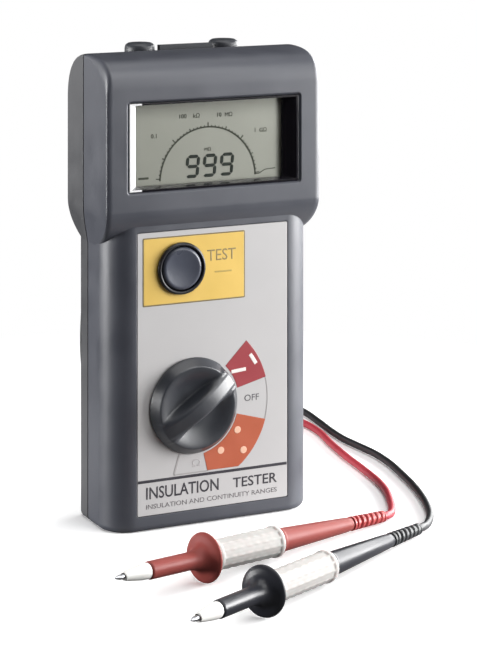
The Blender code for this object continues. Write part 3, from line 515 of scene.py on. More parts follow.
def shoulder_at(z):
    if z >= 132.0:
        return 1.0
    for (xa, za), (xb, zb) in zip(SHOULDER, SHOULDER[1:]):
        if zb <= z <= za:
            return (xb + (xa - xb) * (z - zb) / max(za - zb, 1e-6)) / 49.0
    return 46.4 / 49.0


def head(name, by=0.0):
    """The head lofted along X, its one section rounding over to a smaller end cap."""
    main = inset(head_side(), by) if by else head_side()
    cap = inset(head_side(True), by + CAP_INSET)
    half = HEAD_HALF - by
    steps = 8
    sections = []
    for k in range(steps, -1, -1):
        a = math.pi / 2 * k / steps
        share = 1.0 - math.cos(a)
        outline = [(y + (v - y) * share, z + (w - z) * share) for (y, z), (v, w) in zip(main, cap)]
        sections.append((half - END_ROUND + END_ROUND * math.sin(a), outline))
    sections = [(-x, o) for x, o in sections] + [(x, o) for x, o in reversed(sections)]
    bm = bmesh.new()
    rings = [[bm.verts.new((x * MM, y * MM, z * MM)) for y, z in o] for x, o in sections]
    n = len(main)
    for a, b in zip(rings, rings[1:]):
        for i in range(n):
            j = (i + 1) % n
            bm.faces.new((a[i], a[j], b[j], b[i]))
    bm.faces.new(rings[0])
    bm.faces.new(list(reversed(rings[-1])))
    for z in (132.0, 130.0, 128.0, 126.0, 124.0, 122.0, 120.0, 118.0, 116.0):
        bmesh.ops.bisect_plane(bm, geom=bm.verts[:] + bm.edges[:] + bm.faces[:], plane_co=(0, 0, z * MM), plane_no=(0, 0, 1), dist=1e-7)
    for v in bm.verts:
        v.co.x *= shoulder_at(v.co.z / MM)
    return from_bm(name, bm)


def grip(name, by=0.0, front=0.0, top=150.0, round_foot=2.6):
    plan = rounded(
        -BODY_HALF + by, BODY_HALF - by, BODY_FRONT + front, BODY_REAR - by,
        (12.0 - front, 12.0 - front, 6.0 - by, 6.0 - by), 18,
    )
    bm = bmesh.new()
    low = [bm.verts.new((x * MM, y * MM, by * MM)) for x, y in plan]
    face = bm.faces.new(low)
    up = bmesh.ops.extrude_face_region(bm, geom=[face])
    bmesh.ops.translate(bm, vec=(0, 0, (top - by) * MM), verts=[v for v in up["geom"] if isinstance(v, bmesh.types.BMVert)])
    bmesh.ops.recalc_face_normals(bm, faces=bm.faces)
    floor = [e for e in bm.edges if all(v.co.z < (by + 0.01) * MM for v in e.verts)]
    bmesh.ops.bevel(bm, geom=floor, offset=round_foot * MM, segments=6, profile=0.5, affect="EDGES")
    return from_bm(name, bm)


def mouth(name, x0, x1, z0, z1, y_front, y_back, flare, corner=1.2):
    """A cutter for an opening whose rim rounds over towards the front."""
    bm = bmesh.new()
    rings = []
    steps = 6
    stations = [(y_front - 3.0, flare + 0.0)]
    for k in range(steps + 1):
        a = math.pi / 2 * k / steps
        stations.append((y_front + flare * math.sin(a), flare * (1 - math.sin(a))))
    stations.append((y_back, 0.0))
    for y, d in stations:
        plan = rounded(x0 - d, x1 + d, z0 - d, z1 + d, corner + d, 6)
        rings.append([bm.verts.new((x * MM, y * MM, z * MM)) for x, z in plan])
    n = len(rings[0])
    for a, b in zip(rings, rings[1:]):
        for i in range(n):
            j = (i + 1) % n
            bm.faces.new((a[i], a[j], b[j], b[i]))
    bm.faces.new(rings[0])
    bm.faces.new(list(reversed(rings[-1])))
    return from_bm(name, bm)


def plug_wells():
    return [rod(f"well_{n}", (s * SOCKET_X, SOCKET_Y, POCKET_FLOOR), (s * SOCKET_X, SOCKET_Y, 215), PLUG_R + 0.4) for n, s in (("l", -1), ("r", 1))]


SCREWS = ((40.5, 11.0), (41.2, 134.0))


def make_case():
    outer = grip("case_outer")
    carve(outer, adds=[head("head_outer")])
    hollow = grip("case_hollow", 2.2, 2.5, 147.0, 1.5)
    carve(hollow, adds=[head("head_hollow", 2.5)])

    front = copy_of(outer, "cover_front")
    bosses, holes = [], []
    for i, (x, z) in enumerate(SCREWS):
        for s in (-1, 1):
            y = -11.0 if i == 0 else HEAD_FRONT + 2.0
            bosses.append(rod(f"fb{i}{s}", (s * x, y, z), (s * x, SEAM_Y - SEAM_GAP - 0.01, z), 3.2, segments=32))
            if i == 0:
                bosses.append(block(f"rib{s}", (min(s * 42.0, s * 45.9), -9.0, z - 1.1), (max(s * 42.0, s * 45.9), 3.0, z + 1.1)))
            holes.append(rod(f"fh{i}{s}", (s * x, -6.0, z), (s * x, SEAM_Y + 1.0, z), 1.7, segments=24))
    carve(front, cutters=[copy_of(hollow, "h1"), block("half_front", (-70, SEAM_Y - SEAM_GAP, -20), (70, 60, 220))])
    carve(front, adds=bosses)
    carve(
        front,
        cutters=holes + [
            mouth("window_mouth", -39.2, 39.2, 139.9, 176.6, HEAD_FRONT, -12.0, 0.9, 0.8),
            flat("label_bed", [rounded(-LABEL_X - 0.3, LABEL_X + 0.3, LABEL_Z0 - 0.3, LABEL_Z1 + 0.3, 0.9)], -27, BODY_FRONT + 0.8),
            rod("spindle_hole", (KNOB_X, -30, KNOB_Z), (KNOB_X, -10, KNOB_Z), 6.0),
            rod("button_hole", (BUTTON_X, -30, BUTTON_Z), (BUTTON_X, -10, BUTTON_Z), 10.3),
        ],
    )
    rear = copy_of(outer, "cover_rear")
    bosses, holes = [], []
    for i, (x, z) in enumerate(SCREWS):
        for s in (-1, 1):
            y = BODY_REAR if i == 0 else HEAD_REAR
            bosses.append(rod(f"rb{i}{s}", (s * x, SEAM_Y + SEAM_GAP + 0.01, z), (s * x, y - 0.7, z), 3.9, segments=32))
            holes.append(rod(f"rh{i}{s}", (s * x, 0, z), (s * x, y + 3, z), 1.8, segments=24))
            holes.append(rod(f"rc{i}{s}", (s * x, y - 6.0, z), (s * x, y + 3, z), 3.2, segments=48))
    carve(rear, cutters=[hollow, block("half_rear", (-70, -60, -20), (70, SEAM_Y + SEAM_GAP, 220))])
    carve(rear, adds=bosses)
    grooves = []
    for s in (-1, 1):
        for k in range(12):
            z = 28.0 + 6.0 * k
            x0, x1 = (24.0, 38.0) if s > 0 else (-38.0, -24.0)
            grooves.append(block(f"groove{s}{k}", (x0, BODY_REAR - 0.6, z), (x1, BODY_REAR + 3, z + 2.0), round_by=0.5, segments=2))
    carve(
        rear,
        cutters=holes + grooves + [
            flat("bay", [rounded(-BAY_X, BAY_X, BAY_Z0, BAY_Z1, 2.0)], 12.0, 30.0),
            block("pocket", (-28.4, 9.0, POCKET_FLOOR), (28.4, 40, 215)),
            block("strip_slot", (-13.5, 6.9, POCKET_FLOOR), (12.5, 12, 215)),
        ] + plug_wells(),
    )
    bpy.data.objects.remove(outer, do_unlink=True)
    for obj, node, mat in ((front, "front_cover", CASE), (rear, "rear_cover", CASE_REAR)):
        obj.data.materials.clear()
        obj.data.materials.append(mat)
        finish_shading(obj, 30)
        w = obj.modifiers.new("weighted", "WEIGHTED_NORMAL")
        w.keep_sharp = True
        w.weight = 60
        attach(obj, ROOT)
        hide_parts(node)


make_case()


# ============================ label ============================
FACE = BODY_FRONT  # front surface of the label


def sector(r0, r1, a0, a1, low=None, count=40):
    pts = arc(KNOB_X, KNOB_Z, r1, a0, a1, count) + arc(KNOB_X, KNOB_Z, r0, a1, a0, count)
    if low is not None:
        pts = clip_low(pts, low)
    return pts


def clip_low(pts, z):
    out = []
    for i, p in enumerate(pts):
        q = pts[(i + 1) % len(pts)]
        if p[1] >= z:
            out.append(p)
        if (p[1] - z) * (q[1] - z) < 0:
            t = (z - p[1]) / (q[1] - p[1])
            out.append((p[0] + (q[0] - p[0]) * t, z))
    return out


def ribbon(points, width):
    """A narrow strip along a line of points."""
    left, right = [], []
    for i, p in enumerate(points):
        a = Vector(points[max(i - 1, 0)])
        b = Vector(points[min(i + 1, len(points) - 1)])
        d = (b - a).normalized()
        n = Vector((-d.y, d.x)) * width / 2
        left.append((p[0] + n.x, p[1] + n.y))
        right.append((p[0] - n.x, p[1] - n.y))
    return right + left[::-1]


def words(name, text, x, z, height, y0, y1, mat, width=None, shear=0.0, bold=0.0):
    """Plain lettering, its lower left corner at (x, z)."""
    data = bpy.data.curves.new(name, "FONT")
    data.body = text
    data.size = 1.0
    data.shear = shear
    data.offset = bold
    data.resolution_u = 3
    guide = bpy.data.objects.new(name + "_guide", data)
    bpy.context.scene.collection.objects.link(guide)
    bpy.context.view_layer.update()
    mesh = bpy.data.meshes.new_from_object(guide.evaluated_get(bpy.context.evaluated_depsgraph_get()))
    bpy.data.objects.remove(guide, do_unlink=True)
    bm = bmesh.new()
    bm.from_mesh(mesh)
    bmesh.ops.remove_doubles(bm, verts=bm.verts, dist=1e-5)
    xs = [v.co.x for v in bm.verts]
    ys = [v.co.y for v in bm.verts]
    k = height / (max(ys) - min(ys))
    kx = k if width is None else width / (max(xs) - min(xs))
    x_lo, y_lo = min(xs), min(ys)
    up = bmesh.ops.extrude_face_region(bm, geom=bm.faces[:])
    tops = {v for v in up["geom"] if isinstance(v, bmesh.types.BMVert)}
    for v in bm.verts:
        u, w = (v.co.x - x_lo) * kx + x, (v.co.y - y_lo) * k + z
        v.co = (u * MM, (y1 if v in tops else y0) * MM, w * MM)
    bmesh.ops.recalc_face_normals(bm, faces=bm.faces)
    bm.to_mesh(mesh)
    bm.free()
    mesh.name = name
    return new_object(name, mesh, mat)


def print_piece(obj):
    finish_shading(obj, 20)
    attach(obj, ROOT)
    return obj


label = flat(
    "label_plate",
    [
        rounded(-LABEL_X, LABEL_X, LABEL_Z0, LABEL_Z1, 0.6),
        arc(BUTTON_X, BUTTON_Z, 10.4, 0, 360 * 95 / 96, 95),
        arc(KNOB_X, KNOB_Z, 6.3, 0, 360 * 47 / 48, 47),
    ],
    FACE, FACE + 0.5, LABEL,
)
finish_shading(label)
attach(label, ROOT)
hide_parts("front_label")

P0, P1 = FACE - 0.06, FACE + 0.05  # printed layers stand a hair above the film
Q0 = FACE - 0.11

BUTTON_CLEAR = arc(BUTTON_X, BUTTON_Z, 10.6, 0, 360 * 95 / 96, 95)
print_piece(flat("print_test_panel", [rounded(-31.7, 14.1, 92.9, 120.1, 0.4), BUTTON_CLEAR], P0, P1, YELLOW))
print_piece(flat("print_test_border", [rounded(-32.2, 14.6, 92.4, 120.6, 0.6), rounded(-31.75, 14.15, 92.85, 120.15, 0.4)], P0, P1, surface("print_border", (0.22, 0.17, 0.07), 0.45, edge=0.0)))
print_piece(words("print_test_word", "TEST", -2.9, 109.0, 4.7, Q0, P1, surface("print_test_ink", (0.30, 0.23, 0.10), 0.45, edge=0.0), width=13.2))
print_piece(flat("print_test_mark", [ribbon([(0.6, 104.3), (8.4, 104.3)], 0.7)], Q0, P1, surface("print_mark_ink", (0.50, 0.36, 0.10), 0.45, edge=0.0)))

LOW = 22.0
print_piece(flat("print_red_range", [sector(20.9, 34.7, 14.0, 45.0)], P0, P1, PRINT_RED))
print_piece(flat("print_orange_range", [sector(20.9, 34.7, -77.0, -15.7, LOW, 80)], P0, P1, PRINT_ORANGE))
marks = [
    flat("m1", [ribbon([(8.3, 61.8), (15.0, 62.4)], 1.5)], Q0, P1),
    flat("m2", [ribbon([(17.0, 68.4), (19.8, 64.2)], 1.6)], Q0, P1),
]
print_piece(merge("print_red_marks", marks, PRINT_WHITE))
marks = [
    flat("m3", [arc(11.1, 37.3, 1.5, 0, 350, 30)], Q0, P1),
    flat("m4", [arc(13.9, 28.6, 1.5, 0, 350, 30)], Q0, P1),
    flat("m5", [arc(3.4, 29.6, 1.5, 0, 350, 30)], Q0, P1),
]
print_piece(merge("print_orange_marks", marks, surface("print_pale", (0.80, 0.48, 0.34), 0.45, edge=0.0)))
lines = [
    flat("g1", [ribbon(arc(KNOB_X, KNOB_Z, 34.5, -15.5, 13.6, 40), 0.55)], P0, P1),
    flat("g2", [ribbon([(KNOB_X + 33.0 * math.cos(math.radians(-107.5)) * k, KNOB_Z + 33.0 * math.sin(math.radians(-107.5)) * k) for k in (0.62, 0.70, 0.78, 0.88)], 1.0)], P0, P1),
    flat("g3", [ribbon([(-18.2, 21.9), (-2.2, 21.9)], 0.5)], P0, P1),
]
print_piece(merge("print_scale_lines", lines, PRINT_GREY))
print_piece(words("print_off_word", "OFF", 14.4, 48.8, 2.7, P0, P1, surface("print_off_ink", (0.11, 0.11, 0.12), 0.45, edge=0.0), width=6.8))
print_piece(words("print_ohm_mark", "Ω", -9.8, 24.3, 3.0, P0, P1, surface("print_faint_ink", (0.47, 0.44, 0.45), 0.45, edge=0.0), width=3.8))
print_piece(flat("print_rule", [ribbon([(-34.3, 20.6), (34.3, 20.6)], 1.15)], P0, P1, PRINT_DARK))
print_piece(words("print_type_word", "INSULATION", -30.6, 13.2, 5.0, P0, P1, PRINT_DARK, width=33.0, bold=0.01))
print_piece(words("print_type_word_2", "TESTER", 9.0, 13.2, 4.2, P0, P1, PRINT_DARK, width=20.6, bold=0.01))
print_piece(words("print_small_line", "INSULATION AND CONTINUITY RANGES", -30.6, 9.2, 1.9, P0, P1, surface("print_small_ink", (0.16, 0.15, 0.155), 0.45, edge=0.0), width=60.2))

# ============================ display ============================
for node, mat in (("display_bezel", GLOSS), ("lcd_frame", WHITE), ("lcd_connector", SEAL), ("display_window", WINDOW), ("lcd_panel", LCD), ("case_seal", SEAL)):
    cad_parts[node].data.materials.clear()
    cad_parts[node].data.materials.append(mat)

L0, L1 = -15.14, -15.03
SLANT = 0.10


def seg(points):
    return points


def digit(x, z, w, h, lit):
    """Seven slanted segments of one figure; `lit` names the dark ones."""
    t = 1.35
    g = 0.16
    m = h / 2

    def s(pts):
        return [(x + u + v * SLANT, z + v) for u, v in pts]

    def hbar(v):
        return s([(t / 2 + g, v), (t + g, v + t / 2), (w - t - g, v + t / 2), (w - t / 2 - g, v), (w - t - g, v - t / 2), (t + g, v - t / 2)])

    def vbar(u, v0, v1):
        return s([(u, v0 + g), (u + t / 2, v0 + t / 2 + g), (u + t / 2, v1 - t / 2 - g), (u, v1 - g), (u - t / 2, v1 - t / 2 - g), (u - t / 2, v0 + t / 2 + g)])

    shapes = {
        "a": hbar(h - t / 2), "g": hbar(m), "d": hbar(t / 2),
        "f": vbar(t / 2, m, h - t / 2), "b": vbar(w - t / 2, m, h - t / 2),
        "e": vbar(t / 2, t / 2, m), "c": vbar(w - t / 2, t / 2, m),
    }
    return [shapes[k] for k in lit]


dark = []
for k, x in enumerate((-11.6, -3.7, 4.2)):
    for i, pts in enumerate(digit(x, 143.4, 6.3, 9.6, "abcdfg")):
        dark.append(flat(f"d{k}{i}", [pts], L0, L1))
lcd_digits = merge("lcd_figures", dark, INK)
finish_shading(lcd_digits, 20)
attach(lcd_digits, ROOT)

CX, CZ, AR = -0.8, 142.3, 22.0
fine = [flat("arc", [ribbon(arc(CX, CZ, AR, 2, 178, 90), 0.62)], L0, L1)]
for k in range(41):
    a = math.radians(4 + 172 * k / 40)
    r1 = AR + (1.9 if k % 10 == 0 else 1.3 if k % 5 == 0 else 0.75)
    fine.append(flat(f"t{k}", [ribbon([(CX + AR * math.cos(a), CZ + AR * math.sin(a)), (CX + r1 * math.cos(a), CZ + r1 * math.sin(a))], 0.45)], L0, L1))
fine.append(flat("base_r", [ribbon([(CX + AR - 0.2, CZ + 1.0), (CX + AR + 1.6, CZ + 1.0), (CX + AR + 4.6, CZ + 2.6), (CX + AR + 9.5, CZ + 2.9)], 0.36)], L0, L1))
fine.append(flat("bat", [ribbon([(-32.6, 144.6), (-28.0, 144.6)], 0.9)], L0, L1))
scale = merge("lcd_scale", fine, FAINT)
finish_shading(scale, 20)
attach(scale, ROOT)
texts = [
    words("w1", "0.1", -26.9, 160.9, 1.8, L0, L1, None),
    words("w2", "100", -14.0, 168.4, 1.8, L0, L1, None),
    words("w3", "kΩ", -7.6, 168.4, 1.9, L0, L1, None),
    words("w4", "10", 3.4, 168.2, 1.8, L0, L1, None),
    words("w5", "MΩ", 7.0, 168.2, 1.8, L0, L1, None),
    words("w6", "1", 21.0, 160.8, 1.8, L0, L1, None),
    words("w7", "GΩ", 23.2, 160.8, 1.8, L0, L1, None),
    words("w8", "MΩ", -2.4, 154.3, 1.5, L0, L1, None),
]
lcd_words = merge("lcd_units", texts, FAINT)
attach(lcd_words, ROOT)

# ============================ button ============================
def dome(profile_r, rise, at_r, count=10):
    return [(profile_r * (1 - k / count), rise * (1 - (1 - k / count) ** 2)) for k in range(count + 1)]


ring = turned(
    "button_collar",
    fillet([(9.9, 6.0), (9.9, 1.6), (10.8, 1.6), (10.8, 0.7), (10.1, 0.15), (9.45, 0.35), (9.25, 1.2), (9.25, 6.0)], [0, 0.05, 0.1, 0.3, 0.3, 0.2, 0.2, 0], 4),
    (BUTTON_X, BODY_FRONT - 2.0, BUTTON_Z), (0, 1, 0), RING, closed=True,
)
finish_shading(ring, 40)
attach(ring, ROOT)
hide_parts("button_ring")

cap_profile = [(0, 8.4), (2.0, 8.4), (2.0, 3.2), (7.6, 3.2), (7.6, 5.0), (8.9, 5.0)]
cap_profile += [(8.9 - 1.3 * (1 - math.cos(a)) , 1.5 - 1.3 * math.sin(a)) for a in [math.pi / 2 * k / 8 for k in range(9)]]
cap_profile += [(7.6 * (1 - k / 12), 0.2 + 0.75 * (1 - (1 - k / 12) ** 2)) for k in range(1, 13)]
cap = turned("button_cap", cap_profile, (BUTTON_X, BODY_FRONT - 2.2, BUTTON_Z), (0, 1, 0), BUTTON)
finish_shading(cap, 45)
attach(cap, "test_button")
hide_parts("test_button")

# ============================ knob ============================
def smoothstep(a, b, x):
    t = max(0.0, min(1.0, (x - a) / (b - a)))
    return t * t * (3 - 2 * t)


FLANK_TOP = 17.4  # the flank leans in from the base to this radius


def knob_height(u, v):
    """Height of the knob's face over the label: a ridge across the middle with leaning
    sides, a scooped bowl on either side of it, and a low round rim."""
    r = math.hypot(u, v)
    side = abs(v)
    ridge = 9.0 - 0.0125 * u * u
    bowl = 2.7 + 2.3 * smoothstep(5.0, 16.9, r) ** 1.6
    wall = smoothstep(3.0, 5.6, side)
    if u > 17.0:
        wall *= 1.0 - 0.6 * smoothstep(17.0, 18.6, u)
    h = ridge * (1.0 - wall) + min(bowl, ridge) * wall
    soft = 0.35 * smoothstep(2.2, 3.4, side) * (1.0 - smoothstep(3.4, 4.6, side))
    h -= soft
    reach = FLANK_TOP if side > 5.6 else FLANK_TOP + (1.6 if u > 0 else 0.4) * (1.0 - smoothstep(3.0, 5.6, side))
    if r > reach - 0.7:
        t = min(1.0, (r - reach + 0.7) / 0.7)
        h -= 0.55 * t * t
    return h


def make_knob():
    bm = bmesh.new()
    rest = math.radians(KNOB_REST)
    cu, su = math.cos(rest), math.sin(rest)

    def point(u, v, height):
        x = KNOB_X + u * cu - v * su
        z = KNOB_Z + u * su + v * cu
        return bm.verts.new((x * MM, (FACE - height) * MM, z * MM))

    def reach_at(t):
        side = abs(FLANK_TOP * math.sin(t))
        return FLANK_TOP if side > 5.6 else FLANK_TOP + (1.6 if math.cos(t) > 0 else 0.4) * (1.0 - smoothstep(3.0, 5.6, side))

    chord = 18.85
    n, rings = 360, 130
    last = None
    centre = point(0, 0, knob_height(0, 0))
    for k in range(1, rings + 1):
        ring = []
        for i in range(n):
            t = 2 * math.pi * i / n
            r = reach_at(t) * (k / rings) ** 0.92
            u, v = min(r * math.cos(t), chord), r * math.sin(t)
            ring.append(point(u, v, knob_height(u, v)))
        if last is None:
            for i in range(n):
                bm.faces.new((centre, ring[i], ring[(i + 1) % n]))
        else:
            for i in range(n):
                j = (i + 1) % n
                bm.faces.new((last[i], ring[i], ring[j], last[j]))
        last = ring
    # flank, foot, underside and the bore for the spindle
    levels = []
    for share in (0.12, 0.3, 0.55, 0.8, 1.0):
        levels.append(("flank", share))
    levels += [("foot", 0), ("under", 0), ("bore", 0), ("deep", 0)]
    for kind, share in levels:
        ring = []
        for i in range(n):
            t = 2 * math.pi * i / n
            c, w = math.cos(t), math.sin(t)
            top = reach_at(t)
            if kind == "flank":
                r = top + (KNOB_R - top) * share
                h_top = knob_height(min(top * c, chord), top * w)
                h = h_top + (0.85 - h_top) * share
            elif kind == "foot":
                r, h = KNOB_R, 0.45
            elif kind == "under":
                r, h = KNOB_R - 0.15, 0.4
            elif kind == "bore":
                r, h = 3.3, 0.4
            else:
                r, h = 3.3, 6.8
            ring.append(point(min(r * c, chord), r * w, h))
        for i in range(n):
            j = (i + 1) % n
            bm.faces.new((last[i], ring[i], ring[j], last[j]))
        last = ring
    bm.faces.new(last)
    obj = from_bm("knob_body", bm, KNOB)
    finish_shading(obj, 40)
    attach(obj, "range_knob")
    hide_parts("range_knob")


make_knob()

# ============================ inside, fasteners, battery cover ============================
PLAIN = {
    "knob_spindle": WHITE, "switch_rotor": WHITE, "rotary_switch": BLACK, "test_switch": BLACK,
    "main_pcb": BOARD, "transformer": COPPER, "relay": BLACK,
    "hv_capacitor": CELL, "buzzer": BLACK, "fuse_holder": STEEL, "fuse": GLASS,
    "battery_tray": BLACK, "battery_contact_upper": STEEL, "battery_contact_lower": STEEL,
    "cell_lower_left": CELL, "cell_lower_right": CELL, "cell_upper_left": CELL, "cell_upper_right": CELL,
    "battery_cover": CASE_REAR, "terminal_block": DARK, "socket_positive": BRASS, "socket_negative": BRASS,
}
for node, mat in PLAIN.items():
    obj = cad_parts[node]
    obj.data.materials.clear()
    obj.data.materials.append(mat)

for i, (x, z) in enumerate(SCREWS):
    rear_y = BODY_REAR if i == 0 else HEAD_REAR
    for side in (-1, 1):
        name = f"case_screw_{'lower' if i == 0 else 'upper'}_{'left' if side < 0 else 'right'}"
        y = rear_y - 5.7
        s = turned(
            name + "_fine",
            fillet([(0, y + 2.2), (2.4, y + 2.2), (2.8, y + 1.8), (2.8, y), (1.35, y), (1.35, -4.5), (0.4, -5.5), (0, -5.5)], 0.2, 3),
            (side * x, 0, z), (0, 1, 0), STEEL, steps=40,
        )
        carve(s, cutters=[
            block("s1", (side * x - 1.7, y + 1.1, z - 0.35), (side * x + 1.7, y + 4, z + 0.35)),
            block("s2", (side * x - 0.35, y + 1.1, z - 1.7), (side * x + 0.35, y + 4, z + 1.7)),
        ])
        s.data.materials.clear()
        s.data.materials.append(STEEL)
        finish_shading(s)
        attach(s, ROOT)
        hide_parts(name)

lock = turned("cover_lock_fine", fillet([(0, 1.9), (2.7, 1.9), (3.0, 1.6), (3.0, 0.1), (0, 0.1)], 0.1, 3), (0, 14.85, 104.5), (0, 1, 0), STEEL, steps=64)
carve(lock, cutters=[block("slot", (-2.6, 16.2, 104.0), (2.6, 20, 105.0))])
lock.data.materials.clear()
lock.data.materials.append(STEEL)
finish_shading(lock)
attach(lock, "cover_lock")
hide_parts("cover_lock")

# ============================ leads ============================
def smooth_path(points, steps):
    pts = [Vector(p) for p in points]
    pts = [2 * pts[0] - pts[1]] + pts + [2 * pts[-1] - pts[-2]]
    out = []
    for i in range(1, len(pts) - 2):
        p0, p1, p2, p3 = pts[i - 1 : i + 3]
        t0 = 0.0
        t1 = t0 + math.sqrt((p1 - p0).length)
        t2 = t1 + math.sqrt((p2 - p1).length)
        t3 = t2 + math.sqrt((p3 - p2).length)
        for k in range(steps):
            t = t1 + (t2 - t1) * k / steps
            a1 = p0 * ((t1 - t) / (t1 - t0)) + p1 * ((t - t0) / (t1 - t0))
            a2 = p1 * ((t2 - t) / (t2 - t1)) + p2 * ((t - t1) / (t2 - t1))
            a3 = p2 * ((t3 - t) / (t3 - t2)) + p3 * ((t - t2) / (t3 - t2))
            b1 = a1 * ((t2 - t) / (t2 - t0)) + a2 * ((t - t0) / (t2 - t0))
            b2 = a2 * ((t3 - t) / (t3 - t1)) + a3 * ((t - t1) / (t3 - t1))
            out.append(b1 * ((t2 - t) / (t2 - t1)) + b2 * ((t - t1) / (t2 - t1)))
    out.append(pts[-2])
    return out


def tube(name, line, r, mat, sides=20):
    """A round cord swept along the line, closed at both ends."""
    bm = bmesh.new()
    tangents = []
    for i, p in enumerate(line):
        a, b = line[max(i - 1, 0)], line[min(i + 1, len(line) - 1)]
        tangents.append((b - a).normalized())
    normal = tangents[0].orthogonal().normalized()
    rings = []
    for i, p in enumerate(line):
        if i:
            q = tangents[i - 1].rotation_difference(tangents[i])
            normal = q @ normal
        side = tangents[i].cross(normal)
        rings.append([bm.verts.new((p + (normal * math.cos(2 * math.pi * k / sides) + side * math.sin(2 * math.pi * k / sides)) * r) * MM) for k in range(sides)])
    for a, b in zip(rings, rings[1:]):
        for k in range(sides):
            j = (k + 1) % sides
            bm.faces.new((a[k], a[j], b[j], b[k]))
    bm.faces.new(rings[0])
    bm.faces.new(rings[-1])
    return from_bm(name, bm, mat)


# The return spring under the button cap.
SPRING_FRONT, SPRING_BACK, SPRING_TURNS = -16.0, -7.0, 4
coil_line = []
for i in range(SPRING_TURNS * 24 + 1):
    turn = 2 * math.pi * i / 24
    coil_line.append(Vector((
        BUTTON_X + 5.6 * math.cos(turn),
        SPRING_FRONT + (SPRING_BACK - SPRING_FRONT) * i / (SPRING_TURNS * 24),
        BUTTON_Z + 5.6 * math.sin(turn),
    )))
spring = tube("button_spring_fine", coil_line, 0.35, STEEL, sides=10)
finish_shading(spring, 60)
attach(spring, ROOT)
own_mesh(spring)
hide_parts("button_spring")


CABLE_R, GUARD_R, FLOOR_GAP = 1.6, 9.5, 0.2
GUARD_AT, NOSE_LENGTH = 40.4, 46.0
ON_TABLE = CABLE_R + FLOOR_GAP


